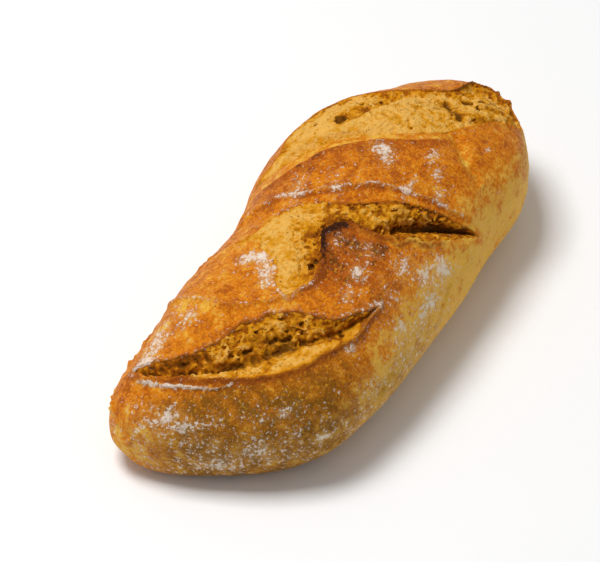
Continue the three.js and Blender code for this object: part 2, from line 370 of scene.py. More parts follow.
SLASHES = {
    "first": dict(
        near=[(-112, -47), (-115, -19), (-111, -1), (-104, 14), (-91, 30), (-68, 41), (-57, 46), (-36, 45)],
        far=[(-112, -47), (-106, -22), (-96, -7), (-78, -1), (-67, 8), (-59, 26), (-51, 35), (-36, 45)],
        near_raise=(0.4, 1.6, 2.0, 1.8, 2.0, 1.2), far_raise=(0.3, 0.8, 1.0, 1.2, 1.0, 0.4),
        near_wall=(0.4, 0.6, 0.7, 0.7, 0.6, 0.4), far_wall=(0.4, 0.6, 0.8, 0.8, 0.6, 0.4),
        near_toast=(0.5, 0.6, 0.6, 0.6, 0.6, 0.5), far_toast=(0.4, 0.35, 0.3, 0.3, 0.25, 0.2),
        near_crag=(0.35, 0.35, 0.35, 0.35, 0.35), far_crag=(0.9, 1.2, 1.3, 1.2, 0.9),
        toast_reach=(2.0, 6.0), lean=(0.6, 0.2), ragged=(0.7, 1.0), rim=(0.8, 0.6),
        depth=(1.6, 4.4, 6.4, 8.0, 7.4, 5.6, 2.6), middle=(0.5, 0.52, 0.5, 0.48, 0.5, 0.5),
        widths=(0.38, 0.34), cleft=0.45, toast=(0.3, 0.27, 0.24, 0.23, 0.22), pores=3,
        ridges=[
            gully([(-92, 1), (-88, 5), (-84, 7), (-80, 9)], 2.6, 1.4, 0.2),
            gully([(-80, 12), (-76, 14), (-73, 18), (-70, 22)], 3.2, 1.8, 0.24),
            gully([(-72, 14), (-70, 16), (-67, 24), (-66, 28)], 2.2, 1.2, 0.2),
            gully([(-106, -16), (-102, -9), (-98, -4), (-95, 0)], 1.6, 1.0, 0.2),
        ],
    ),
    "second": dict(
        near=[
            (-46, -48), (-37, -31), (-39, -20), (-46, -8), (-56, 0), (-59, 7), (-49, 10), (-40, 10),
            (-31, 6), (-23, 3), (-15, 7), (-11, 17), (-7, 28), (4, 40), (15, 50), (28, 63), (41, 76),
        ],
        far=[(-46, -48), (-32, -33), (-18, -28), (-6, -10), (7, 11), (22, 34), (33, 56), (41, 76)],
        near_raise=(0.1, 0.2, 0.2, 0.5, 2.6, 4.2, 1.7, 0.9, 0.4, 0.1), far_raise=(0.1, 0.2, 0.2, 0.2, 0.1),
        near_wall=(0.3, 0.3, 0.3, 0.5, 1.6, 2.4, 1.8, 1.2, 0.8, 0.4),
        far_wall=(0.4, 0.5, 0.5, 0.6, 0.7, 0.6, 0.4),
        near_toast=(0.3, 0.2, 0.2, 0.3, 0.8, 0.9, 0.6, 0.5, 0.4, 0.3),
        far_toast=(0.3, 0.3, 0.35, 0.5, 0.5, 0.3),
        near_crag=(0.4, 0.45, 0.55, 1.0, 1.1, 0.9, 0.6), far_crag=(0.35, 0.4, 0.5, 0.9, 1.3, 1.7, 1.2),
        toast_reach=(5.5, 2.0), lean=(0.8, 0.2), ragged=(1.5, 0.8), rim=(1.0, 0.4),
        depth=(0, 0, 1.0, 2.2, 4.0, 10.0, 13.0, 8.0), middle=(0.1, 0.1, 0.1, 0.1, 0.2, 0.46, 0.54, 0.5),
        widths=(0.22, 0.17), cleft=0, toast=(0.06, 0.04, 0.04, 0.1, 0.36, 0.34, 0.24, 0.2), pores=4,
        ridges=[
            ridge([(-40, -30), (-36, -18), (-38, -6), (-30, -4), (-16, -8)], 1.6, 8, 8),
            ridge([(-14, 4), (-8, 1), (2, 8), (11, 17), (17, 26)], 1.7, 5, 0.8, brown=0.3),
        ],
    ),
    "third": dict(
        near=[
            (4, -62), (8, -49), (18, -30), (30, -18), (41, -6), (51, 4), (64, 17),
            (79, 24), (92, 31), (102, 46), (109, 60),
        ],
        far=[
            (4, -62), (20, -50), (42, -56), (67, -48), (78, -28),
            (90, -9), (100, -2), (113, -3), (120, 14), (120, 36), (115, 52), (109, 60),
        ],
        near_raise=(0.1, 0.1, 0.1, 0.1, 0.6, 0.5), far_raise=(0.1, 0.2, 0.4, 1.4, 1.8, 0.6, 0.4),
        near_wall=(0.4, 0.4, 0.4, 0.4, 0.6, 0.6), far_wall=(0.4, 0.4, 0.4, 0.8, 1.2, 1.2, 0.8),
        near_toast=(0.2, 0.2, 0.25, 0.3, 0.5, 0.5), far_toast=(0.35, 0.4, 0.45, 0.45, 0.35, 0.25, 0.2),
        near_crag=(0.2, 0.22, 0.25, 0.3, 0.4, 0.6, 0.6), far_crag=(0.3, 0.4, 0.8, 0.8, 0.7, 1.0, 0.9),
        toast_reach=(1.4, 3.4), lean=(0.2, 0.8), ragged=(0.35, 1.0), rim=(0.4, 0.3),
        depth=(0, 0.6, 1.0, 1.0, 1.6, 2.6, 1.8), middle=(0.7, 0.75, 0.8, 0.8, 0.7, 0.6),
        widths=(0.2, 0.2), cleft=0, toast=(0.06, 0, 0, 0.01, 0.06, 0.1, 0.12), pores=3,
        ridges=[
            # The tongue: shade painted behind its crest, and a highlight painted along the crest by a brown
            # below 0
            ridge(
                [(8, -46), (14, -38), (21, -32), (34, -21), (49, -13), (64, -8), (84, -7)], 3.0, 8, 3,
                roundness=1, drop=1.8, band=4, shade=0.75, brown=-0.14,
            ),
            ridge([(10, -46), (19, -33), (31, -20), (43, -10), (55, -2), (68, 5)], 1.0, 2.5, 2, brown=0.12),
            ridge([(70, 6), (80, 12), (88, 20), (96, 32)], 1.4, 5, 3, brown=0.2),
            gully([(91, -2), (89, 1), (85, 7), (81, 15), (78, 19)], 2.6, 1.6, 0.34),
            ridge([(50, -23), (56, -21), (63, -20), (72, -19), (82, -17)], -1.6, 3.5, 3.5, dark=0.03),
            gully([(80, 21), (87, 25), (94, 31), (99, 37)], 2.0, 1.2, 0.2),
            ridge([(98, -4), (103, 5), (106, 13), (106, 22)], 2.4, 5, 1.4, roundness=1, brown=0.2),
            ridge([(95, 12), (100, 22), (104, 32), (108, 44)], 1.8, 1.5, 5, roundness=1, brown=0.12),
            ridge([(112, 4), (117, 16), (117, 30), (113, 44)], 2.2, 1.5, 4, roundness=1, brown=0.36),
        ],
    ),
}

for number, slash in enumerate(SLASHES.values()):
    slash["near_line"] = flat_line(slash["near"], slash["ragged"][0], LIP_SEED + 10 * number)
    slash["far_line"] = flat_line(slash["far"], slash["ragged"][1], LIP_SEED + 5 + 10 * number)
    slash["loop"] = np.concatenate([slash["near_line"], slash["far_line"][::-1]])
    for turn, fold in enumerate(slash["ridges"]):
        fold["flat"] = flat_line(fold["line"], RIDGE_RAGGED, RIDGE_SEED + 10 * number + turn)
print("slashes:", {name: f"{len(s['near_line']) * LINE_STEP:.0f} mm" for name, s in SLASHES.items()})

# %% [markdown]
# ## Places in a slash
# To shape a slash we ask, for any place, how far both lips are and how far across and along the slash it
# lies. From that follow the curl of a lip, the sunken crevice and the floor of the crumb. A lip that rises
# by more than two millimetres is an ear, and its curl reaches further back.

# %% Places in a slash
SLOPE_FADE = 14
FOLD_END = 0.12
LIP_REACH = 1.4
EAR_REACH = 4.0
EAR_FROM = 2.0
EAR_RUN = 1.2
CRUMB_MEETS_WALL = 0.35
CRUMB_CLIMB = 0.6
CRUMB_AT_LIP = 3
CLEFT_WIDTH = 0.3


def across_slash(slash, plane):
    """Where flat places lie in a slash: distances to both lips, share across and share along, and inside."""
    near, near_share, near_normal = nearest(slash["near_line"], plane)
    far, far_share, far_normal = nearest(slash["far_line"], plane)
    return dict(
        near=near, far=far, near_normal=near_normal, far_normal=-far_normal,
        near_share=near_share, far_share=far_share,
        across=near / np.maximum(near + far, 1e-6), length=(near_share + far_share) / 2,
        inside=within(slash["loop"], plane),
    )


def lip_value(slash, place, side, name):
    """A value given along a lip, at each place's nearest point of that lip."""
    return along(slash[f"{side}_{name}"], 2 * place[f"{side}_share"] - 1)


def between_lips(slash, place, name):
    """A value given along both lips, shaded from one to the other across the slash."""
    near, far = lip_value(slash, place, "near", name), lip_value(slash, place, "far", name)
    return near + (far - near) * place["across"]


def fold_height(fold, plane, reach=30.0):
    """Height of a fold along its line: a ridge, and for a crest the slope on one side of it."""
    offset, share = beside(fold["flat"], plane, reach)
    distance = np.abs(offset)
    width = np.where(offset > 0, fold["right"], fold["left"])
    height = fold["rise"] * np.exp(-((distance / width) ** fold["roundness"]))
    if "drop" in fold:
        fall = fold["drop"] * ease(distance / abs(fold["band"])) * bell(distance, SLOPE_FADE)
        height = height - np.where(offset * fold["band"] > 0, fall, 0)
    return height * ease(np.minimum(share, 1 - share) / FOLD_END)


def ear_share(raise_by):
    """0 where a lip lies low, 1 where it stands up as an ear."""
    return ramp(raise_by, EAR_FROM, EAR_RUN)


def lip_curl(slash, place, side, reach=1.0):
    """How far a lip curls up, fading away from it."""
    raise_by = lip_value(slash, place, side, "raise")
    fade = LIP_REACH + (EAR_REACH - LIP_REACH) * ear_share(raise_by)
    return raise_by * np.exp(-place[side] / reach / fade)


def crevice_depth(slash, place):
    """How far the crevice of a tear sinks below its lips, and how much of that its narrow cleft adds."""
    v, s = place["across"], 2 * place["length"] - 1
    middle = along(slash["middle"], s)
    across = (v - middle) / np.where(v < middle, *slash["widths"])
    cleft = slash["cleft"]
    narrow = cleft * bell(across, CLEFT_WIDTH)
    depth = along(slash["depth"], s)
    return depth * ((1 - cleft) * bell(across, 1) + narrow), depth * narrow


def crumb_floor(slash, place, plane):
    """How far below the uncut crust the crumb lies."""
    v = place["across"]
    near_gap = CRUMB_MEETS_WALL * lip_value(slash, place, "near", "wall")
    far_gap = CRUMB_MEETS_WALL * lip_value(slash, place, "far", "wall")
    lips = ease(np.minimum(place["near"], place["far"]) / CRUMB_AT_LIP)
    floor_depth = near_gap * (1 - v) ** 2 + far_gap * v ** 2 + lips * crevice_depth(slash, place)[0]
    for fold in slash["ridges"]:
        floor_depth -= lips * fold_height(fold, plane)
    for side in ("near", "far"):
        floor_depth -= lip_curl(slash, place, side, CRUMB_CLIMB)
    return floor_depth


print("deepest crevice, mm:", {name: max(slash["depth"]) for name, slash in SLASHES.items()})

# %% [markdown]
# ## Folds and swellings
# Between the slashes the dough swelled, and where a slash opened late the crust folded over it into a
# crest. A crest falls away gently on its outer side and steeply towards the slash, as a smooth slanted
# band. Creases are low ridges, and grooves are ridges that go down.

# %% Folds and swellings
FOLD_SEED = 300
FOLD_RAGGED = 0.45
SWELLS = (
    (-88, 62, 30, 30, 2.0), (-80, -32, 16, 24, 3.5), (-122, -118, 14, 22, 2.0), (-30, 36, 26, 20, 3.5),
    (20, -8, 14, 34, 3.5), (48, 48, 14, 22, 2.0), (84, 56, 20, 22, 3.0),
)
FOLDS = {
    "second_crest": ridge(
        [(-26, -62), (-16, -50), (-5, -19), (2, -6), (12, 6), (20, 21), (27, 35), (33, 50), (42, 68)],
        1.5, 4.0, 8.0, roundness=1, drop=1.2, band=-1.2,
    ),
    "third_crest": ridge(
        [(-3, -58), (0, -43), (11, -26), (26, -12), (40, 0), (52, 14), (64, 26)],
        0.9, 7.0, 3.0, roundness=1, drop=0.3, band=1.2,
    ),
    "crease": ridge(
        [(-78, -58), (-76, -29), (-74, -12), (-67, -1), (-58, 7), (-50, 11)], 2.4, 2.0, 6.0, roundness=1,
    ),
    "valley": ridge(
        [(4, -60), (8, -49), (18, -30), (30, -18), (41, -6), (51, 4), (64, 17), (78, 24)],
        -1.4, 3.0, 6.0, roundness=1,
    ),
    "floured_flap": ridge(
        [(-118, -32), (-116, -7), (-112, 8), (-107, 20), (-101, 21)], 1.3, 0.6, 3.0, roundness=1,
    ),
    "far_groove": ridge([(71, 21), (62, 33), (57, 44), (55, 54)], -2.4, 3.5, 3.5),
    "far_ridge": ridge([(38, 19), (47, 29), (55, 46), (55, 57)], 1.3, 2.5, 3.5),
    "slot_rim": ridge([(-2, 36), (14, 54), (28, 67), (44, 80)], 0.9, 2.5, 3.5),
    "side_dent": ridge([(12, 74), (4, 80), (-2, 86), (-8, 92)], -1.3, 1.6, 3.0),
    "low_dent": ridge([(-44, 80), (-51, 86), (-58, 92)], -1.1, 1.6, 3.0),
}
for number, fold in enumerate(FOLDS.values()):
    fold["flat"] = flat_line(fold["line"], FOLD_RAGGED, FOLD_SEED + 10 * number)


def patches(table, x, angle):
    """Add up round patches on the crust: x and angle of the middle, reach in x and in angle, amount."""
    total = np.zeros(len(x))
    for middle, turn, reach_x, reach_turn, amount in table:
        total += amount * np.exp(-(((x - middle) / reach_x) ** 2) - ((angle - turn) / reach_turn) ** 2)
    return total


print(len(SWELLS), "swellings and folds:", ", ".join(FOLDS))

# %% [markdown]
# ## A skin fine enough for lips
# The crust starts as a flat grid, x by arc, with about a millimetre between lines. Along the lips the grid
# is split once more, and its nearest vertices are moved onto the lip, so that a torn edge is a clean line
# of mesh edges and not a staircase. A finer grid all over would need far more faces for that. Rolled up,
# the two long sides meet under the loaf and each short side closes to a point at a tip.

# %% The flat grid of the crust
RING_STEP = 1.15
TOP_REACH = 106
TOP_STEP = 1.2
BASE_STEPS = 22
BASE_EVEN = 0.42
BASE_SPREAD = 0.58
SPLIT_REACH = 2.2
SNAP_REACH = 0.26


def ring_places():
    """x of each ring, evenly spaced along the surface from tip to tip."""
    t = np.linspace(-1, 1, 6001)
    x = LENGTH / 2 * t * (1.5 - 0.5 * t * t)
    path = bare_surface(x, np.full(len(x), 50.0))
    lengths = np.concatenate([[0], np.cumsum(np.linalg.norm(np.diff(path, axis=0), axis=1))])
    return np.interp(np.linspace(0, lengths[-1], int(lengths[-1] / RING_STEP)), lengths, x)


def column_angles():
    """Angle of each column: even over the top, wider apart under the loaf."""
    top_angles = np.linspace(-TOP_REACH, TOP_REACH, int(2 * TOP_REACH / TOP_STEP))
    share = np.linspace(0, 1, BASE_STEPS + 1)[1:]
    base = TOP_REACH + (180 - TOP_REACH) * (BASE_EVEN * share + BASE_SPREAD * share ** 2)
    return np.concatenate([-base[::-1], top_angles, base])


CRISP_LINES = [slash[f"{side}_line"] for slash in SLASHES.values() for side in ("near", "far")]
CRISP_LINES += [fold["flat"] for fold in FOLDS.values() if fold["roundness"] < 2]


def lip_distance(plane):
    """Distance to the nearest lip or crisp fold and the nearest place on it."""
    best = np.full(len(plane), 1e3)
    spot = plane.copy()
    for line in CRISP_LINES:
        distance, share, _ = nearest(line, plane, reach=6)
        closer = distance < best
        row = share * (len(line) - 1)
        on_line = np.stack([np.interp(row, np.arange(len(line)), line[:, i]) for i in (0, 1)], axis=-1)
        best[closer] = distance[closer]
        spot[closer] = on_line[closer]
    return best, spot


def flat_grid():
    """The crust's mesh, still flat, split along the lips."""
    xs, arcs = ring_places(), ARC * column_angles()
    rows, columns = len(xs), len(arcs)
    plane = np.stack(np.meshgrid(xs, arcs, indexing="ij"), axis=-1).reshape(-1, 2)
    flat = bmesh.new()
    verts = [flat.verts.new((x, a, 0)) for x, a in plane]
    for i in range(rows - 1):
        for j in range(columns - 1):
            k = i * columns + j
            flat.faces.new((verts[k], verts[k + 1], verts[k + columns + 1], verts[k + columns]))
    flat.faces.index_update()
    centres = np.array([face.calc_center_median()[:2] for face in flat.faces])
    close = lip_distance(centres)[0] < SPLIT_REACH
    edges = {edge for face, split in zip(flat.faces, close) if split for edge in face.edges}
    bmesh.ops.subdivide_edges(flat, edges=list(edges), cuts=1, use_grid_fill=True)
    return flat


flat_crust = flat_grid()
plane = np.array([vert.co[:2] for vert in flat_crust.verts])
gap, lip_spot = lip_distance(plane)
plane = np.where((gap < SNAP_REACH)[:, None], lip_spot, plane)
print("crust grid:", len(flat_crust.verts), "vertices,", len(flat_crust.faces), "faces")

# %% [markdown]
# ## Relief of the crust
# Each vertex is lifted along the loaf's normal by the swellings, folds and lumps. Next to a slash the lip
# curls up and leans over the tear. Inside a slash the skin drops by the torn wall's height, tucks in under
# the lip where the wall is tall, and then goes down below the crumb that will fill it. Along the left
# outline and round the torn far tip, small jagged flakes of crust stand up. A Displace modifier could lift
# the vertices, but a lip also leans sideways, so both moves are worked out here.

# %% Relief of the crust
WALL_RUN = 0.6
TUCK = 0.8
TUCK_FADE = 3
TUCKED_WALL = 0.8
BELOW_CRUMB = 6.5
SINK_RUN = 1.6
RIM_BACK = dict(near=1.7, far=0.3)
RIM_WIDTH = 1.1
EAR_RIM_WIDTH = 2.2
TORN_FROM_LIP = 0.8
LUMP_SIZES = (24, 10, 4.5, 2.4)
LUMP_HEIGHTS = (0.6, 0.3, 0.2, 0.16)
LUMP_SEED = 11
BASE_SIZES = (14, 5)
BASE_HEIGHTS = (0.25, 0.12)
BASE_SEED = 31
FLAKE_SIZES = (3.0, 1.5)
FLAKE_HEIGHTS = (1.2, 1.0)
FLAKE_SEED = 700
FLAKES = (
    (-52, -62, 5, 0.9), (-45, -57, 6, 1.0), (-80, -69, 6, 0.7), (-72, -62, 5, 0.8), (-125, -70, 8, 1.2),
    (-121, -80, 6, 2.0), (-120, -45, 8, 0.5), (-104, -68, 6, 1.2), (-91, -63, 5, 1.7), (-124, 5, 7, 0.7),
    (-14, -60, 6, 0.7), (107, -3, 6, 1.4), (119, 14, 6, 1.6), (121, 34, 6, 1.5), (114, 54, 5, 1.2),
)


def crust_lumps(bare, angle):
    """Lumps, blisters and wrinkles of the crust. The underside lies flat on its tray."""
    top = ease((125 - np.abs(angle)) / 30)
    lumps = top * layered(bare, LUMP_SIZES, LUMP_HEIGHTS, LUMP_SEED)
    return lumps + (1 - top) * layered(bare, BASE_SIZES, BASE_HEIGHTS, BASE_SEED)


def flake_height(plane, bare):
    """Jagged scales of crust, only outwards: x, angle, reach and rise of each group."""
    height = np.zeros(len(plane))
    for number, (x, angle, reach, rise) in enumerate(FLAKES):
        close = np.exp(-(((plane[:, 0] - x) / reach) ** 2 + ((plane[:, 1] - angle * ARC) / reach) ** 2))
        jagged = layered(bare, FLAKE_SIZES, FLAKE_HEIGHTS, FLAKE_SEED + 9 * number)
        height += rise * close * np.clip(jagged, 0, 1.4)
    return height


def crust_relief(plane, places):
    """Lift along the normal and push in the flat plane for each vertex, with masks for the material."""
    x, angle = plane[:, 0], plane[:, 1] / ARC
    bare = bare_surface(x, angle)
    lift = patches(SWELLS, x, angle) + crust_lumps(bare, angle) + flake_height(plane, bare)
    for fold in FOLDS.values():
        lift += fold_height(fold, plane)
    push = np.zeros((len(plane), 2))
    torn = np.zeros(len(plane))
    edge = np.zeros(len(plane))
    for name, slash in SLASHES.items():
        place = places[name]
        inside = place["inside"]
        lip = np.minimum(place["near"], place["far"])
        walls = {side: lip_value(slash, place, side, "wall") for side in ("near", "far")}
        for side, lean, browning in zip(("near", "far"), slash["lean"], slash["rim"]):
            distance = place[side]
            raise_by = lip_value(slash, place, side, "raise")
            outside = ~inside | (distance < 0.05)
            curl = lip_curl(slash, place, side)
            lift += curl
            leaning = np.where(outside, lean * curl / max(slash[f"{side}_raise"]), 0)
            push += leaning[:, None] * place[f"{side}_normal"]
            tucked = TUCK * ease(distance / WALL_RUN) * (1 - ramp(distance, WALL_RUN, TUCK_FADE))
            tucked = tucked * ramp(walls[side], TUCKED_WALL, 1)
            push -= np.where(inside, tucked, 0)[:, None] * place[f"{side}_normal"]
            ear = ear_share(raise_by)
            rim = bell(distance - RIM_BACK[side] * (1 - ear), RIM_WIDTH + EAR_RIM_WIDTH * ear)
            rim = rim * ramp(raise_by, 0.2, 0.8)
            edge = np.maximum(edge, np.where(outside, browning * rim, 0))
        drop = np.where(place["near"] < place["far"], walls["near"], walls["far"]) * ease(lip / WALL_RUN)
        drop += BELOW_CRUMB * ramp(lip, WALL_RUN, SINK_RUN)
        drop += np.maximum(crumb_floor(slash, place, plane), 0)
        lift -= np.where(inside, drop, 0)
        torn = np.maximum(torn, np.where(inside, ease(lip / TORN_FROM_LIP), 0))
    return lift, push, dict(torn=torn, edge=edge)


crust_places = {name: across_slash(slash, plane) for name, slash in SLASHES.items()}
lift, push, crust_masks = crust_relief(plane, crust_places)
moved = plane + push
crust_points = bare_surface(moved[:, 0], moved[:, 1] / ARC)
crust_points += lift[:, None] * bare_normals(moved[:, 0], moved[:, 1] / ARC)
crust_points[:, 2] = np.maximum(crust_points[:, 2], 0)
print("crust lift, mm:", round(float(lift.min()), 1), "to", round(float(lift.max()), 1))

# %% [markdown]
# ## Colour masks of the crust
# How dark a crust bakes depends on where it sits: tops of folds brown first, the low sides stay pale, and a
# raised ear scorches, while the lip that rolled over beside it stays golden and bare. Flour clings in
# patches where the loaf lay on its cloth. These are stored on the vertices as numbers from 0 to 1, and the
# material turns them into colour. They could be painted by hand in Blender's weight paint, but a script has
# to give the same masks on each run. They are made of three simple forms: round patches, sides where
# something sets in over a run of x and of angle, and stripes along a lip.

# %% Forms that the masks are made of
ANYWHERE = (-999, 1)


def sides(table, x, angle):
    """Add up amounts that set in along x and round the angle, each from a start over a run."""
    total = np.zeros(len(x))
    for across_x, across_angle, amount in table:
        total += amount * ramp(x, *across_x) * ramp(angle, *across_angle)
    return total


def stripe(places, slash, side, reach, shift=0, start=(-1, 1), end=(2, -1), power=2):
    """A stripe beside a lip, shifted off it, that sets in and ends over runs of the lip's length."""
    place = places[slash]
    share = place[f"{side}_share"]
    fading = np.exp(-np.abs((place[side] - shift) / reach) ** power)
    return ramp(share, *start) * ramp(share, *end) * fading


CHAR = dict(slash="second", side="near", reach=2.6, start=(0.4, 0.09), end=(0.62, -0.09))
ROLLED_LIP = dict(slash="second", side="near", reach=4.2, start=(0.54, 0.06), power=4)
char = stripe(crust_places, **CHAR)
rolled = stripe(crust_places, **ROLLED_LIP)
print("scorched vertices:", int((char > 0.5).sum()), "rolled lip:", int((rolled > 0.5).sum()))

# %% [markdown]
# ## Flour, browning, and the dull and shaded near end
# The places and amounts below are judged from the photograph. Flour lies in some forty patches, on three
# folds and along two lips, and thinly over the rest. Browning is strongest where the crust faces up, and
# is then raised or lowered place by place; under the ledge of the second crest it is raised into a thin
# painted shadow line. The near end and the low right side get a dull, dark brown: partly their own tone,
# partly painted shade where the crust turns down, away from the light.

# %% Flour, browning, and the dull and shaded near end
FLOUR_BASE = 0.2
CHAR_HIDES_FLOUR = 0.5
ROLLED_HIDES_FLOUR = 0.8
FLOUR_PATCHES = (
    (-48, -23, 5, 5, 0.8), (-45, -15, 4, 4, 0.7), (-51, -8, 4, 4, 0.9), (-57, -4, 4, 4, 0.6),
    (-32, 25, 4, 4, 0.65), (-44, 29, 4, 4, 0.5), (-13, 42, 5, 5, 0.45), (-4, 56, 6, 6, 0.5),
    (6, 60, 5, 6, 0.5), (10, 66, 4, 5, 0.4), (-8, 70, 5, 6, 0.55), (-15, 74, 4, 4, 0.4),
    (-32, 65, 4, 6, 0.55), (36, 4, 5, 5, 0.7), (30, 9, 5, 4, 0.5), (45, 24, 6, 3, 0.65),
    (40, 31, 5, 3, 0.75), (24, 23, 7, 2, 0.65), (33, 37, 4, 3, 0.65), (40, 41, 4, 2, 0.5),
    (74, 41, 2, 3, 0.6), (65, 64, 2, 4, 0.6), (-4, -22, 12, 6, 0.42), (4, -5, 10, 5, 0.4),
    (-84, -27, 6, 5, 0.6), (-92, -42, 14, 12, 0.45), (-106, -38, 9, 10, 0.6), (-124, 28, 6, 9, 0.34),
    (-119, 50, 6, 8, 0.32), (-118, 112, 7, 10, 0.3), (-88, 87, 3, 4, 0.7), (-110, 92, 10, 16, 0.2),
    (-97, 56, 8, 8, 0.35), (-79, 60, 6, 6, 0.35), (-60, 49, 5, 3, 0.45), (-22, 9, 7, 5, 0.3),
    (-16, 20, 7, 5, 0.2), (-112, 30, 16, 26, 0.1), (-126, 10, 6, 40, 0.4), (-20, 30, 16, 16, 0.2),
    (-72, 60, 20, 22, -0.2),
)
FLOURED_SIDES = (
    ((40, -30), (30, 20), 0.17),
    ((-60, -30), ANYWHERE, -0.05),
    ((20, -30), (62, 16), 0.14),
    ((30, 30), (20, 20), -0.1),
    (ANYWHERE, (-72, -16), 0.2),
)
FLOURED_FOLDS = (("second_crest", 0.8, 0.44), ("floured_flap", 1.0, 0.9), ("crease", 0.9, 0.32))
FLOURED_LIPS = (
    (0.35, dict(slash="first", side="far", reach=1.2, shift=1.2)),
    (0.4, dict(slash="second", side="near", reach=1.0, shift=0.8, start=(0.26, 0.04), end=(0.42, -0.04))),
)
BAKE_BASE = 0.16
BAKE_UPWARDS = 0.34
BAKED_PATCHES = ((-25, 22, 22, 18, 0.32), (-96, -42, 14, 16, -0.14), (-72, -36, 26, 22, -0.07))
BAKED_SIDES = (
    ((-84, -20), (-30, 30), 0.16),
    ((-70, 40), (42, 24), -0.36),
    ((30, 40), (42, 24), 0.108),
    ((74, 10), (-4, -12), -0.06),
    ((-108, -14), (-20, -30), 0.15),
    ((-112, -10), (-45, 30), -0.16),
    ((-112, -10), (25, 30), 0.16),
)
FOLD_BAKE_AND_SHADE = (
    # Browning along folds; the second crest's row paints a thin shadow line under its ledge
    ("second_crest", -1.3, 0.6, 0.35), ("crease", -3.5, 3, -0.16),
    ("far_groove", 0, 2.5, -0.24), ("far_ridge", 0, 1.2, -0.22),
)
BAKED_LIPS = (
    (-0.14, dict(slash="second", side="near", reach=7, end=(0.34, -0.04))),
    (0.8, dict(slash="second", side="near", reach=9, start=(0.38, 0.06), end=(0.7, -0.1))),
    (0.22, dict(slash="first", side="near", reach=4)),
    (0.12, dict(slash="first", side="far", reach=4)),
    (-0.3, dict(slash="first", side="near", reach=1.1)),
)
CREST_BROWN = 0.42
CREST_BROWN_FADE = 7
CREST_PALE = 0.3
CREST_PALE_REACH = 9
CREST_EDGE = 1.2
ROLLED_BAKE = 0.2
ROLLED_COVER = 0.85


def flour_at(plane, places):
    """Where flour lies thick, 0 to 1."""
    x, angle = plane[:, 0], plane[:, 1] / ARC
    total = FLOUR_BASE + sides(FLOURED_SIDES, x, angle) + patches(FLOUR_PATCHES, x, angle)
    for fold, reach, amount in FLOURED_FOLDS:
        distance, share, _ = nearest(FOLDS[fold]["flat"], plane, 12)
        total += amount * bell(distance, reach) * np.sqrt(np.sin(np.pi * share))
    for amount, band in FLOURED_LIPS:
        total += amount * stripe(places, **band)
    return np.clip(total * (1 - CHAR_HIDES_FLOUR * char) * (1 - ROLLED_HIDES_FLOUR * rolled), 0, 1)


def bake_and_shade_at(plane, places):
    """How brown the crust baked, 0 pale to 1 dark, with a painted shadow line under the second crest."""
    x, angle = plane[:, 0], plane[:, 1] / ARC
    bake_and_shade = BAKE_BASE + BAKE_UPWARDS * ramp(bare_normals(x, angle)[:, 2], 0.1, 0.5)
    bake_and_shade += patches(BAKED_PATCHES, x, angle) + sides(BAKED_SIDES, x, angle)
    offset, share = beside(FOLDS["third_crest"]["flat"], plane, 24)
    middle = ease(np.minimum(share, 1 - share) / 0.1)
    fading = np.exp(-np.abs(offset) / CREST_BROWN_FADE)
    bake_and_shade += CREST_BROWN * fading * middle * ramp(offset, 0.6, -CREST_EDGE)
    bake_and_shade -= CREST_PALE * bell(offset, CREST_PALE_REACH) * middle * ramp(offset, 0.4, CREST_EDGE)
    # Browning along folds, and the painted shadow line under the second crest
    for fold, shift, reach, change in FOLD_BAKE_AND_SHADE:
        offset, share = beside(FOLDS[fold]["flat"], plane, 24)
        bake_and_shade += change * bell(offset - shift, reach) * np.sin(np.pi * share)
    for change, band in BAKED_LIPS:
        bake_and_shade += change * stripe(places, **band)
    bake_and_shade += ROLLED_COVER * rolled * (ROLLED_BAKE - bake_and_shade)
    return np.clip(bake_and_shade, 0, 1)


def umber_and_shade_at(plane):
    """Near end and low right side: a duller brown of its own, and painted shade where it faces down."""
    x, angle = plane[:, 0], plane[:, 1] / ARC
    y, facing_up = bare_surface(x, angle)[:, 1], bare_normals(x, angle)[:, 2]
    near_end = ramp(x, -44, -44) * ramp(y, 23, -36) * ramp(facing_up, 0.95, -0.25)
    low_side = 0.5 * ramp(x, 10, -50) * ramp(facing_up, 0.4, -0.35) * ramp(y, 0, -10)
    return np.maximum(near_end, low_side)


crust_masks["flour"] = flour_at(plane, crust_places)
crust_masks["bake_and_shade"] = bake_and_shade_at(plane, crust_places)
crust_masks["char"] = char
crust_masks["umber_and_shade"] = umber_and_shade_at(plane)
print("masks:", {name: round(float(mask.mean()), 2) for name, mask in crust_masks.items()})

# %% [markdown]
# ## Roll the skin up
# The flat mesh keeps its x and arc as a UV map, then its vertices take their places in space, and the seam
# under the loaf and the points at the tips are welded shut.

# %% Roll the skin up
def build_crust():
    uv = flat_crust.loops.layers.uv.new("OFBake")
    low, high = plane.min(0), plane.max(0)
    for face in flat_crust.faces:
        for loop in face.loops:
            loop[uv].uv = (Vector(loop.vert.co[:2]) - Vector(low)) / float(max(high - low))
    layers = {name: flat_crust.verts.layers.float.new(name) for name in crust_masks}
    for n, vert in enumerate(flat_crust.verts):
        vert.co = crust_points[n] * MM
        for name, layer in layers.items():
            vert[layer] = crust_masks[name][n]
    bmesh.ops.remove_doubles(flat_crust, verts=flat_crust.verts, dist=2e-6)
    bmesh.ops.recalc_face_normals(flat_crust, faces=flat_crust.faces)
    mesh = bpy.data.meshes.new("crust")
    flat_crust.to_mesh(mesh)
    flat_crust.free()
    mesh.shade_smooth()
    piece = bpy.data.objects.new("crust", mesh)
    bpy.context.scene.collection.objects.link(piece)
    return piece


crust = build_crust()
triangles = sum(len(face.vertices) - 2 for face in crust.data.polygons)
print("crust:", len(crust.data.vertices), "vertices,", triangles, "triangles")

# %% [markdown]
# ## Depth under the crust
# Torn crumb is a foam: lumps, threads and round pores of every size. A height over the crust can't fold
# back on itself, so each tear's crumb will be a block of voxels half a millimetre wide. For that, every
# point in the loaf has to know which place of the crust it lies under, and how deep.

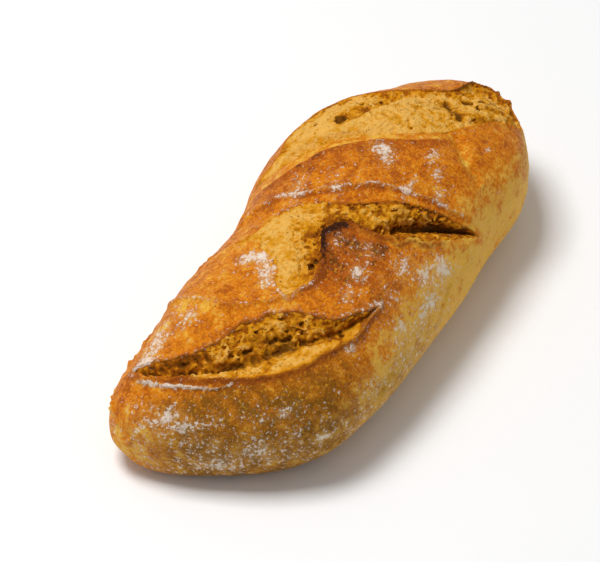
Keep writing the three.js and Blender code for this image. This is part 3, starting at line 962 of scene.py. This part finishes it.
# %% Depth of any point under the crust
def places_in_loaf(points):
    """Flat place and depth under the smooth surface for points inside or near the loaf."""
    spine, half, belly, above, below = section(points[:, 0])
    side = (spine - points[:, 1]) / half
    rise = points[:, 2] - belly
    rise = np.where(rise > 0, rise / above, rise / below)
    side_power, top_power = 2 / SIDE_ROUNDING, 2 / TOP_ROUNDING
    a, b = np.abs(side) ** side_power, np.abs(rise) ** top_power
    scale = np.maximum(a + b, 1e-9) ** (-1 / 2.16)
    for _ in range(2):
        a_scaled, b_scaled = a * scale ** side_power, b * scale ** top_power
        scale *= 1 - (a_scaled + b_scaled - 1) / (side_power * a_scaled + top_power * b_scaled)
    angle = np.degrees(np.arctan2(np.sign(side) * np.sqrt(a), np.sign(rise) * np.sqrt(b)))
    reach = np.hypot(points[:, 1] - spine, points[:, 2] - belly)
    return np.stack([points[:, 0], ARC * angle], axis=-1), reach * (scale - 1)


check_x = np.linspace(-100, 100, 5)
check = bare_surface(check_x, np.full(5, 35.0)) - 4 * bare_normals(check_x, np.full(5, 35.0))
print("depth of points 4 mm down:", np.round(places_in_loaf(check)[1], 2))

# %% [markdown]
# ## Tables of the crumb's floor
# Millions of voxels ask the same questions, so the answers are worked out once on a fine grid over each
# slash: how deep the floor lies, how craggy the tear is, how jagged it is where the floor is steep, and how
# much shade lies in its crevices. A voxel then looks its own values up.

# %% Tables of the crumb's floor
MAP_STEP = 0.5
UNDER_LIP = 2.0
STEEP_UNDER_LIP = 2.4
NO_CRUMB = 20
CALM_AT_LIP = 2.5
CALM_SHARE = 0.4
CRAG_UNDER_LIP = 0.3
STEEP_FROM_LIP = 1.5
STEEP_CRAG = 1.9
SHADE_FROM = 4
CREVICE_SHADE = 0.075
CLEFT_SHADE = 0.1


def floor_map(slash):
    """Corner of a slash's tables, and the tables: floor depth, crag, jagged crag and shade."""
    low = slash["loop"].min(0) - UNDER_LIP - 2
    high = slash["loop"].max(0) + UNDER_LIP + 2
    xs = np.arange(low[0], high[0], MAP_STEP)
    arcs = np.arange(low[1], high[1], MAP_STEP)
    shape = len(xs), len(arcs)
    grid = np.stack(np.meshgrid(xs, arcs, indexing="ij"), axis=-1).reshape(-1, 2)
    place = across_slash(slash, grid)
    inside = place["inside"]
    lip = np.minimum(place["near"], place["far"])
    outside = np.where(inside, 0, lip)
    x, angle = grid[:, 0], grid[:, 1] / ARC
    raised = patches(SWELLS, x, angle) + crust_lumps(bare_surface(x, angle), angle)
    for fold in FOLDS.values():
        raised += fold_height(fold, grid)
    floor_depth = crumb_floor(slash, place, grid) - raised + STEEP_UNDER_LIP * outside
    floor_depth += np.where(outside > UNDER_LIP, NO_CRUMB, 0)
    calm = 1 - CALM_SHARE + CALM_SHARE * ease(lip / CALM_AT_LIP)
    crag = between_lips(slash, place, "crag") * np.where(inside, calm, CRAG_UNDER_LIP)
    slope = np.hypot(*np.gradient(floor_depth.reshape(shape), MAP_STEP)).ravel()
    jagged = crag * np.where(inside & (lip > STEEP_FROM_LIP), np.clip(slope, 1, STEEP_CRAG), 1)
    crevice, cleft = crevice_depth(slash, place)
    shade = CREVICE_SHADE * np.maximum(crevice - SHADE_FROM, 0) + CLEFT_SHADE * cleft
    for fold in slash["ridges"]:
        shade += fold.get("dark", 0) * np.maximum(-fold_height(fold, grid), 0)
    return low, [table.reshape(shape) for table in (floor_depth, crag, jagged, shade)]


def look_up(table, low, plane):
    """Values of a table at flat places, blended between its entries."""
    spot = (plane - low) / MAP_STEP
    spot = np.clip(spot, 0, np.array(table.shape) - 1.001)
    i, j = np.floor(spot).astype(int).T
    u, v = (spot - np.floor(spot)).T
    return (
        table[i, j] * (1 - u) * (1 - v) + table[i + 1, j] * u * (1 - v)
        + table[i, j + 1] * (1 - u) * v + table[i + 1, j + 1] * u * v
    )


floor_maps = {name: floor_map(slash) for name, slash in SLASHES.items()}
print("entries in each table:", {name: tables[0].size for name, (_, tables) in floor_maps.items()})

# %% [markdown]
# ## Pores and cracks
# Yeast blows bubbles into the dough, and a tear opens some of them. Small ones are scattered by chance, more
# of them where the crumb is craggy. Those large enough to see in the photograph are placed one by one.
# Between them the crumb breaks into lumps along narrow cracks. Dark spots of colour could pass for pores
# from afar, but only real hollows catch the light on one rim.

# %% Pores and cracks
VOXEL = 0.5
CLEAR_OF_LIP = 1.6
PORE_MARGIN = 1.5
PORE_UNEVEN = 0.5
PORE_SEED = 77
KEPT_PORES = 0.5
SMALL_PORE = 0.32
LARGE_PORE = 1.1
CRACK_SIZE = 3.4
CRACK_WIDTH = 0.2
CRACK_DEPTH = 0.75
CRUMB_LUMPS = (5, 2.2, 1.15)
CRUMB_HEIGHTS = (0.3, 0.5, 0.95)
NAMED_PORES = {
    "first": ((-76, 13, 0.4, 0.9), (-71, 21, 0.3, 0.9), (-87, 5, 0.3, 0.9), (-60, 29, 0.2, 0.8)),
    "second": ((-39, 5, 0.5, 1.4), (-36, 5, 0.4, 1.1), (-8, 1, 0.2, 1.2), (-2, 6, 0.2, 1.0)),
    "third": (
        (48, -26, 0.5, 2.4), (50, -28, 0.2, 1.6), (65, -28, 0.2, 1.6), (72, -22, 0.2, 1.2),
        (27, -43, 0.2, 1.4), (37, -45, 0.2, 1.2), (43, -39, 0.2, 0.9), (57, 6, 0.1, 0.7),
        (86, 4, 0.3, 1.2), (83, 9, 0.3, 1.1), (82, 14, 0.2, 0.9), (97, 9, 0.6, 1.8), (101, 16, 0.5, 1.6),
        (95, 17, 0.3, 1.2), (85, 22, 0.1, 0.9), (95, 28, 0.1, 0.8), (101, 38, 0.2, 1.1), (94, 40, 0.1, 0.8),
    ),
}


def carve_pore(field, low, middle, radii):
    """Take a pore out of the volume, rounded but uneven."""
    reach = float(max(radii)) + PORE_MARGIN
    first = np.maximum(((middle - reach - low) / VOXEL).astype(int), 0)
    last = np.minimum(((middle + reach - low) / VOXEL).astype(int) + 2, field.shape)
    if (first >= last).any():
        return
    block = tuple(slice(a, b) for a, b in zip(first, last))
    axes = [low[i] + VOXEL * np.arange(first[i], last[i]) - middle[i] for i in range(3)]
    gx, gy, gz = np.meshgrid(*axes, indexing="ij")
    size = float(np.mean(radii))
    pore = size * (1 - np.sqrt((gx / radii[0]) ** 2 + (gy / radii[1]) ** 2 + (gz / radii[2]) ** 2))
    around = np.stack([gx, gy, gz], axis=-1) + middle
    pore += PORE_UNEVEN * size * rough(around, 0.8 * size + 0.5, PORE_SEED)
    field[block] = np.maximum(field[block], pore)


def scattered_pores(slash, depth_map, crag_map, map_low, draw):
    """Small pores all over a tear: flat place, depth and size. The slash says how many to try per cm2."""
    loop = slash["loop"]
    count = int(np.prod(np.ptp(loop, axis=0)) / 100 * slash["pores"])
    spread = draw.uniform(loop.min(0), loop.max(0), (count, 2))
    crag = look_up(crag_map, map_low, spread)
    lip = np.minimum(nearest(slash["near_line"], spread)[0], nearest(slash["far_line"], spread)[0])
    kept = within(loop, spread) & (lip > CLEAR_OF_LIP)
    kept &= draw.uniform(0, 1, len(spread)) < KEPT_PORES * crag
    spread, crag = spread[kept], crag[kept]
    sizes = np.minimum(SMALL_PORE + (0.1 + 0.1 * crag) * draw.exponential(1, len(spread)), LARGE_PORE)
    depths = look_up(depth_map, map_low, spread) + draw.uniform(-0.3, 0.6, len(spread))
    return [(*spot, depth, size) for spot, depth, size in zip(spread, depths, sizes)]


def torn_noise(points, seed):
    """Roughness of torn crumb: lumps of a few sizes, parted by narrow cracks."""
    cracks = np.clip(1 - np.abs(rough(points, CRACK_SIZE, seed + 7)) / CRACK_WIDTH, 0, 1)
    return layered(points, CRUMB_LUMPS, CRUMB_HEIGHTS, seed) + CRACK_DEPTH * cracks


print("pores placed by hand:", {name: len(pores) for name, pores in NAMED_PORES.items()})

# %% [markdown]
# ## Grow the crumb
# What lies below the floor is bread. The volume stores how far each voxel is above it, roughened, with the
# pores taken out, and OpenVDB skins it with a mesh where that distance is zero. Flat parts get fewer faces.
# Each vertex then learns how hollow its place is, which sets the shade painted on it, and how brown it
# baked, with painted shade behind the third tear's tongue and a painted highlight along its crest. A Remesh
# modifier could join lumps in the same way, but it would need every lump and pore as a mesh first.

# %% Grow the crumb
SLAB = 5.0
BAND = 3.5
FLAT_SPARING = 0.12
BLOCK_BELOW = (8, 8, 18)
BLOCK_ABOVE = (8, 8, 10)
BLOCK_BOTTOM = 2
HOLLOW_REACH = 1.1
CRAG_REACH = 1.3
DEEPEST_HOLLOW = 1.4
CRUMB_SEED = 500
TOAST_SEED = 81
TOAST_UNEVEN = 0.2


def toast_and_painted_light_at(slash, place, plane, points):
    """Crumb browning, 0 pale to 1 dark, most by the lips and on crests, with painted shade and highlight."""
    toast = along(slash["toast"], 2 * place["length"] - 1)
    for side, reach in zip(("near", "far"), slash["toast_reach"]):
        toast += lip_value(slash, place, side, "toast") * bell(place[side], reach)
    for fold in slash["ridges"]:
        offset, share = beside(fold["flat"], plane)
        # Painted shade behind a crest; along the crest a browner tone, and a painted highlight where it is
        # below 0
        behind = ramp(offset, 0.5, 2) * bell(offset, SLOPE_FADE)
        behind = behind * ramp(share, 0.42, 0.16) * ramp(share, 1, -0.16)
        crest = bell(offset, 3) * np.sin(np.pi * share)
        toast += fold.get("shade", 0) * behind + fold.get("brown", 0) * crest
    return np.clip(toast + TOAST_UNEVEN * layered(points, (9, 3.5), (0.9, 1.0), TOAST_SEED), 0, 1)


def grow_crumb(name, slash, seed):
    """The crumb of one slash: points in mm, triangles and quads, and masks for the material."""
    map_low, (depth_map, crag_map, jagged_map, shade_map) = floor_maps[name]
    map_high = map_low + MAP_STEP * np.array(depth_map.shape)
    lid = bare_surface(slash["loop"][:, 0], slash["loop"][:, 1] / ARC)
    low = lid.min(0) - BLOCK_BELOW
    high = lid.max(0) + BLOCK_ABOVE
    low[2] = max(low[2], BLOCK_BOTTOM)
    counts = ((high - low) / VOXEL).astype(int)
    field = np.full(counts, BAND, np.float32)
    axes = [low[i] + VOXEL * np.arange(counts[i]) for i in range(3)]
    gy, gz = np.meshgrid(axes[1], axes[2], indexing="ij")
    for i, x in enumerate(axes[0]):
        points = np.stack([np.full(gy.size, x), gy.ravel(), gz.ravel()], axis=-1)
        flat, depth = places_in_loaf(points)
        above = look_up(depth_map, map_low, flat) - depth
        close = np.abs(above) < BAND
        under = -SLAB - above
        above[close] += look_up(jagged_map, map_low, flat[close]) * torn_noise(points[close], seed)
        sheet = np.maximum(above, under)
        sheet[(flat < map_low).any(1) | (flat > map_high).any(1)] = BAND
        field[i] = np.clip(sheet, -BAND, BAND).reshape(gy.shape)
    draw = np.random.default_rng(seed)
    pores = scattered_pores(slash, depth_map, crag_map, map_low, draw)
    for x, angle, sink, size in NAMED_PORES[name]:
        spot = np.array([[x, angle * ARC]])
        pores.append((x, angle * ARC, float(look_up(depth_map, map_low, spot)[0]) + sink, size))
    for x, arc, depth, size in pores:
        spot = np.array([x]), np.array([arc / ARC])
        middle = (bare_surface(*spot) - depth * bare_normals(*spot))[0]
        carve_pore(field, low, middle, size * draw.uniform(0.75, 1.35, 3))
    for axis in range(3):
        for border in (0, -1):
            np.moveaxis(field, axis, 0)[border] = BAND
    grid = openvdb.FloatGrid(BAND)
    grid.copyFromArray(field)
    points, triangles, quads = grid.convertToPolygons(isovalue=0.0, adaptivity=FLAT_SPARING)
    points = low + VOXEL * points
    flat, depth = places_in_loaf(points)
    crag = look_up(crag_map, map_low, flat)
    # Painted shade: how far below the floor a vertex lies, plus the shade painted into crevices
    hollow_shade = 0.5 + (depth - look_up(depth_map, map_low, flat)) / (HOLLOW_REACH + CRAG_REACH * crag)
    hollow_shade += look_up(shade_map, map_low, flat)
    masks = dict(hollow_shade=np.clip(hollow_shade, 0, DEEPEST_HOLLOW), open=np.clip(crag, 0, 1))
    masks["toast"] = toast_and_painted_light_at(slash, across_slash(slash, flat), flat, points)
    return points, triangles, quads, masks


crumbs = {}
for number, (name, slash) in enumerate(SLASHES.items()):
    points, triangles, quads, masks = grow_crumb(name, slash, CRUMB_SEED + 50 * number)
    mesh = bpy.data.meshes.new(f"crumb_{name}")
    mesh.from_pydata(points * MM, [], triangles.tolist() + quads.tolist())
    mesh.shade_smooth()
    for mask_name, values in masks.items():
        layer = mesh.attributes.new(mask_name, "FLOAT", "POINT")
        layer.data.foreach_set("value", np.asarray(values, np.float32))
    crumbs[name] = bpy.data.objects.new(f"crumb_{name}", mesh)
    bpy.context.scene.collection.objects.link(crumbs[name])
    print(mesh.name, len(points), "vertices", len(triangles) + 2 * len(quads), "triangles")

# %% [markdown]
# ## Helpers for materials
# A material is a tree of nodes. These few helpers make a node, feed one of its sockets with a value or with
# another node's output, and put the sums, blends and noises that follow on one line each. Sizes are
# millimetres on the loaf. Every pattern is laid out in Object coordinates, so it stays on the bread whatever
# the camera does.

# %% Helpers for materials
def node(tree, kind, **values):
    made = tree.nodes.new(kind)
    for key, value in values.items():
        setattr(made, key, value)
    return made


def feed(tree, socket, value):
    if isinstance(value, bpy.types.NodeSocket):
        tree.links.new(value, socket)
    elif socket.type == "RGBA":
        socket.default_value = (*value, 1)
    else:
        socket.default_value = value


def mask(tree, name):
    return node(tree, "ShaderNodeAttribute", attribute_name=name).outputs["Fac"]


def sums(tree, operation, *values):
    made = node(tree, "ShaderNodeMath", operation=operation)
    for socket, value in zip(made.inputs, values):
        feed(tree, socket, value)
    return made.outputs["Value"]


def times(tree, first, second):
    return sums(tree, "MULTIPLY", first, second)


def scaled(tree, value, by, plus):
    """A value made larger or smaller, plus another."""
    return sums(tree, "MULTIPLY_ADD", value, by, plus)


def smooth_step(tree, value, low, high):
    """0 below low, 1 above high, smooth between. low may be the larger one."""
    made = node(tree, "ShaderNodeMapRange", interpolation_type="SMOOTHSTEP")
    for name, given in (("Value", value), ("From Min", low), ("From Max", high)):
        feed(tree, made.inputs[name], given)
    return made.outputs["Result"]


def blend(tree, share, first, second):
    made = node(tree, "ShaderNodeMix", data_type="RGBA")
    colours = [socket for socket in made.inputs if socket.type == "RGBA"]
    feed(tree, made.inputs["Factor"], share)
    feed(tree, colours[0], first)
    feed(tree, colours[1], second)
    return next(socket for socket in made.outputs if socket.type == "RGBA")


def noise(tree, size, detail=3.0, roughness=0.55):
    """Cloudy values round 0.5, with lumps of a size in mm."""
    place = node(tree, "ShaderNodeTexCoord").outputs["Object"]
    made = node(tree, "ShaderNodeTexNoise")
    per_metre = sums(tree, "DIVIDE", 1 / MM, size)
    values = dict(Vector=place, Scale=per_metre, Detail=detail, Roughness=roughness)
    for name, given in values.items():
        feed(tree, made.inputs[name], given)
    return made.outputs["Fac"]


def cells(tree, size):
    """Distance from the middle of a scattered cell, in cells, and a random value for the cell."""
    place = node(tree, "ShaderNodeTexCoord").outputs["Object"]
    made = node(tree, "ShaderNodeTexVoronoi")
    feed(tree, made.inputs["Vector"], place)
    feed(tree, made.inputs["Scale"], sums(tree, "DIVIDE", 1 / MM, size))
    random = node(tree, "ShaderNodeSeparateColor")
    feed(tree, random.inputs["Color"], made.outputs["Color"])
    return made.outputs["Distance"], random.outputs["Red"]


FLOAT, COLOUR = "NodeSocketFloat", "NodeSocketColor"


def shader_group(name, inputs, outputs):
    """An empty node group: its tree, its input sockets and its output sockets."""
    tree = bpy.data.node_groups.new(name, "ShaderNodeTree")
    for socket, kind in inputs:
        tree.interface.new_socket(socket, in_out="INPUT", socket_type=kind)
    for socket, kind in outputs:
        tree.interface.new_socket(socket, in_out="OUTPUT", socket_type=kind)
    return tree, tree.nodes.new("NodeGroupInput").outputs, tree.nodes.new("NodeGroupOutput").inputs


def place_group(tree, group, **values):
    made = node(tree, "ShaderNodeGroup", node_tree=group)
    for name, value in values.items():
        feed(tree, made.inputs[name], value)
    return made.outputs


# %% [markdown]
# ## Effects that crust and crumb share
# Four effects show on both: mottling, baking colour, grain and flour. Each is a node group with its own
# inputs, built once and placed in both materials with other values. A group gives only colours and values.
# The shader stays in the material, where the export can read it. Mottling shifts how far a place has baked,
# and the baking group turns that into a colour, from pale over golden and brown to dark.

# %% Mottling and baking colour
BAKING_STEPS = (("Golden", 0.0, 0.45), ("Brown", 0.4, 0.8), ("Dark", 0.85, 1.25))


def mottling_group():
    """Two patterns round 0: broad cloudy patches and fine freckles with clear edges."""
    tree, given, out = shader_group(
        "mottling", [("Patch", FLOAT), ("Freckle", FLOAT)], [("Patches", FLOAT), ("Freckles", FLOAT)]
    )
    feed(tree, out["Patches"], sums(tree, "SUBTRACT", noise(tree, given["Patch"], 4.0, 0.6), 0.5))
    freckles = smooth_step(tree, noise(tree, given["Freckle"], 2.0, 0.6), 0.34, 0.66)
    feed(tree, out["Freckles"], sums(tree, "SUBTRACT", freckles, 0.5))
    return tree


def baking_group():
    """Colour of bread from how long the heat reached it."""
    colours = [(name, COLOUR) for name in ("Pale", "Golden", "Brown", "Dark")]
    tree, given, out = shader_group("baking", [("Bake", FLOAT), *colours], [("Colour", COLOUR)])
    colour = given["Pale"]
    for name, low, high in BAKING_STEPS:
        colour = blend(tree, smooth_step(tree, given["Bake"], low, high), colour, given[name])
    feed(tree, out["Colour"], colour)
    return tree


mottling = mottling_group()
baking = baking_group()
print("groups:", mottling.name, baking.name)

# %% [markdown]
# ## Grain and flour
# Bread's surface is pitted with pinholes, one in some of the cells of a Voronoi pattern, over a fine ripple.
# Flour is dust that clings: single grains anywhere, clumps where it lies thick, and a thin tan film between
# them. Noise above a bar gives grains and clumps, and more flour lowers the bar. Grains could be tiny meshes
# too, but they are finer than the crust's faces and lie flat on it.

# %% Grain and flour
GRAIN_OF_FLOUR = 1.7
CLUMP_OF_FLOUR = 5.0
DRIFT_OF_FLOUR = 14.0
FILM_GRAIN = 1.1
GRAIN_COVER = 0.64
CLUMP_COVER = 0.9


def grain_group():
    """Fine relief of bread, and the pinholes in it. Size is that of a pinhole's cell, in mm."""
    tree, given, out = shader_group(
        "grain", [("Size", FLOAT), ("Pinholes", FLOAT)], [("Height", FLOAT), ("Holes", FLOAT)]
    )
    distance, random = cells(tree, given["Size"])
    kept = smooth_step(tree, random, sums(tree, "SUBTRACT", 1.0, given["Pinholes"]), 1.0)
    hole = times(tree, smooth_step(tree, distance, 0.42, 0.12), kept)
    ripple = noise(tree, given["Size"], 4.0, 0.65)
    feed(tree, out["Height"], sums(tree, "SUBTRACT", ripple, times(tree, hole, 0.5)))
    feed(tree, out["Holes"], hole)
    return tree


def flour_group():
    """Flour on bread: single grains, clumps where it lies thick, and a film of dust between them."""
    tree, given, out = shader_group("flour", [("Amount", FLOAT)], [("Mask", FLOAT), ("Film", FLOAT)])
    drift = scaled(tree, noise(tree, DRIFT_OF_FLOUR, 3.0), 1.6, 0.2)
    amount = times(tree, given["Amount"], drift)
    bar = scaled(tree, amount, -0.25, 0.67)
    grains = smooth_step(tree, noise(tree, GRAIN_OF_FLOUR, 4.0, 0.7), bar, sums(tree, "ADD", bar, 0.08))
    level = scaled(tree, amount, -0.36, 0.79)
    clumps = smooth_step(tree, noise(tree, CLUMP_OF_FLOUR, 6.0, 0.72), level, sums(tree, "ADD", level, 0.2))
    film = times(tree, smooth_step(tree, amount, 0.25, 1.3), noise(tree, FILM_GRAIN, 3.0))
    covered = sums(tree, "MAXIMUM", times(tree, grains, GRAIN_COVER), times(tree, clumps, CLUMP_COVER))
    feed(tree, out["Mask"], covered)
    feed(tree, out["Film"], film)
    return tree


grain = grain_group()
flour = flour_group()
print("groups:", grain.name, flour.name)

# %% [markdown]
# ## Crust
# A baked crust is thin, hard and faintly glossy. Its colour runs from straw on the low sides over golden
# orange to brown on the folds, never evenly: patches and freckles shift it. Rims of the tears are browner,
# the ear is scorched, and flour lies over everything. Shade is painted in as well: into the low spots of the
# fine grain, and over the near end and the low right side, which are also a duller brown of their own. All
# of that goes into Base Color, and the flour also makes the surface duller and a little thicker. A painted
# texture could hold such a crust, but noise steered by the masks stays sharp from close by.

# %% Crust
CRUST_COLOURS = dict(
    Pale=(0.88, 0.49, 0.06), Golden=(0.74, 0.215, 0.003),
    Brown=(0.47, 0.100, 0.002), Dark=(0.13, 0.030, 0.002),
)
# Duller brown mixed with painted shade, for the near end and the low right side
UMBER_AND_SHADE = (0.21, 0.085, 0.002)
# Painted shade for the low spots of the crust's fine grain
PIT_SHADE = (0.22, 0.065, 0.004)
PALE_SPECK = (0.86, 0.44, 0.03)
RIM_BROWN = (0.26, 0.055, 0.003)
SCORCHED = (0.045, 0.011, 0.003)
TORN_BROWN = (0.27, 0.10, 0.007)
FLOUR_FILM = (0.70, 0.42, 0.12)
FLOUR_WHITE = (0.95, 0.87, 0.78)
CRUST_SPECULAR = 0.1
CRUST_DULL = 0.5
CRUST_PATCH = 6.0
CRUST_FRECKLE = 1.5
CRUST_GRAIN = 1.1
CRUST_RELIEF = 1.0
SPECK_SIZE = 1.3
SPECK_COVER = 0.42
PATCH_BROWNS = 1.5
FRECKLE_BROWNS = 0.13
FLOUR_DULLS = 0.35
FLOUR_RAISES = 0.25


def bread_material(name, specular):
    made = bpy.data.materials.new(name)
    made.use_nodes = True
    shader = made.node_tree.nodes["Principled BSDF"]
    shader.inputs["Specular IOR Level"].default_value = specular
    return made, made.node_tree, shader


def relief(tree, shader, height, depth):
    """Bump a surface by a height pattern, depth in mm."""
    bump = node(tree, "ShaderNodeBump")
    feed(tree, bump.inputs["Height"], height)
    feed(tree, bump.inputs["Distance"], depth * MM)
    feed(tree, shader.inputs["Normal"], bump.outputs["Normal"])


def crust_material():
    made, tree, shader = bread_material("crust", CRUST_SPECULAR)
    spots = place_group(tree, mottling, Patch=CRUST_PATCH, Freckle=CRUST_FRECKLE)
    bake_and_shade = scaled(tree, spots["Patches"], PATCH_BROWNS, mask(tree, "bake_and_shade"))
    bake_and_shade = scaled(tree, spots["Freckles"], FRECKLE_BROWNS, bake_and_shade)
    colour = place_group(tree, baking, Bake=bake_and_shade, **CRUST_COLOURS)["Colour"]
    dulled = scaled(tree, spots["Patches"], 2.0, 0.75)
    # Painted shade, with a duller brown, over the near end and the low right side
    colour = blend(tree, times(tree, mask(tree, "umber_and_shade"), dulled), colour, UMBER_AND_SHADE)
    skin = place_group(tree, grain, Size=CRUST_GRAIN, Pinholes=0.1)
    # Painted shade in the low spots of the fine grain, deeper where the crust is browner
    pit_shade = times(tree, smooth_step(tree, skin["Height"], 0.54, 0.36), scaled(tree, bake_and_shade, 0.45, 0.08))
    colour = blend(tree, pit_shade, colour, PIT_SHADE)
    specks = smooth_step(tree, noise(tree, SPECK_SIZE, 2.0), 0.55, 0.68)
    colour = blend(tree, times(tree, specks, SPECK_COVER), colour, PALE_SPECK)
    worn = scaled(tree, spots["Patches"], 1.6, 0.8)
    colour = blend(tree, times(tree, mask(tree, "edge"), worn), colour, RIM_BROWN)
    scorch = scaled(tree, spots["Freckles"], 0.5, mask(tree, "char"))
    colour = blend(tree, smooth_step(tree, scorch, 0.22, 0.85), colour, SCORCHED)
    colour = blend(tree, mask(tree, "torn"), colour, TORN_BROWN)
    dust = place_group(tree, flour, Amount=mask(tree, "flour"))
    colour = blend(tree, dust["Film"], colour, FLOUR_FILM)
    colour = blend(tree, dust["Mask"], colour, FLOUR_WHITE)
    feed(tree, shader.inputs["Base Color"], colour)
    dull = scaled(tree, dust["Mask"], FLOUR_DULLS, scaled(tree, spots["Freckles"], 0.2, CRUST_DULL))
    feed(tree, shader.inputs["Roughness"], dull)
    relief(tree, shader, scaled(tree, dust["Mask"], FLOUR_RAISES, skin["Height"]), CRUST_RELIEF)
    return made


crust.data.materials.append(crust_material())
print("crust material:", len(crust.data.materials[0].node_tree.nodes), "nodes")

# %% [markdown]
# ## Crumb
# Torn crumb is matt and paler than the crust, straw in the open bay and toasted towards the lips. Its pores
# go on below the size of the voxels, so the same grain pattern adds pinholes, painted brown as the shade
# inside them. Hollows and crevices are painted a deeper brown as shade, because little light reaches into
# them, and the tops of lumps are painted a little paler, as if lit.

# %% Crumb
CRUMB_COLOURS = dict(
    Pale=(0.90, 0.49, 0.10), Golden=(0.75, 0.305, 0.008),
    Brown=(0.42, 0.12, 0.005), Dark=(0.10, 0.028, 0.002),
)
# Painted shade inside the pinholes
PINHOLE_SHADE = (0.42, 0.15, 0.008)
PORE_SHADE = (0.17, 0.06, 0.005)
CRUMB_SPECULAR = 0.05
CRUMB_DULL = 0.85
CRUMB_PATCH = 5.0
CRUMB_FRECKLE = 1.6
CRUMB_GRAIN = 1.3
CRUMB_RELIEF = 1.5
CRUMB_FLOUR = 0.05
PINHOLE_COVER = 0.8
HOLLOW_COVER = 0.95
HOLLOW_SHADE_BROWNS = 0.5


def crumb_material():
    made, tree, shader = bread_material("crumb", CRUMB_SPECULAR)
    spots = place_group(tree, mottling, Patch=CRUMB_PATCH, Freckle=CRUMB_FRECKLE)
    toast = scaled(tree, spots["Patches"], 0.6, mask(tree, "toast"))
    toast = scaled(tree, spots["Freckles"], 0.2, toast)
    # Painted shade: hollows turn browner and the tops of lumps paler
    sunk_shade = smooth_step(tree, mask(tree, "hollow_shade"), 0.3, 0.85)
    toast = scaled(tree, sums(tree, "SUBTRACT", sunk_shade, 0.3), HOLLOW_SHADE_BROWNS, toast)
    colour = place_group(tree, baking, Bake=toast, **CRUMB_COLOURS)["Colour"]
    foam = place_group(tree, grain, Size=CRUMB_GRAIN, Pinholes=0.5)
    # Pinholes, bumped in and painted darker for the shade inside them
    pinholes = times(tree, foam["Holes"], smooth_step(tree, mask(tree, "open"), 0.2, 0.75))
    colour = blend(tree, times(tree, pinholes, PINHOLE_COVER), colour, PINHOLE_SHADE)
    # Painted shade, darkest in the deepest hollows and pores
    hollows = times(tree, smooth_step(tree, mask(tree, "hollow_shade"), 0.65, 1.25), HOLLOW_COVER)
    colour = blend(tree, hollows, colour, PORE_SHADE)
    dust = place_group(tree, flour, Amount=CRUMB_FLOUR)
    feed(tree, shader.inputs["Base Color"], blend(tree, dust["Mask"], colour, FLOUR_WHITE))
    shader.inputs["Roughness"].default_value = CRUMB_DULL
    relief(tree, shader, foam["Height"], CRUMB_RELIEF)
    return made


crumb_finish = crumb_material()
for piece in crumbs.values():
    piece.data.materials.append(crumb_finish)
print("crumb material:", len(crumb_finish.node_tree.nodes), "nodes")

# %% [markdown]
# ## Fix the pieces to the loaf
# Crust and crumb stand in for the imported solid and move with its one body.

# %% Fix the pieces to the loaf
for piece in (crust, *crumbs.values()):
    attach(piece, "root")
    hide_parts("loaf")
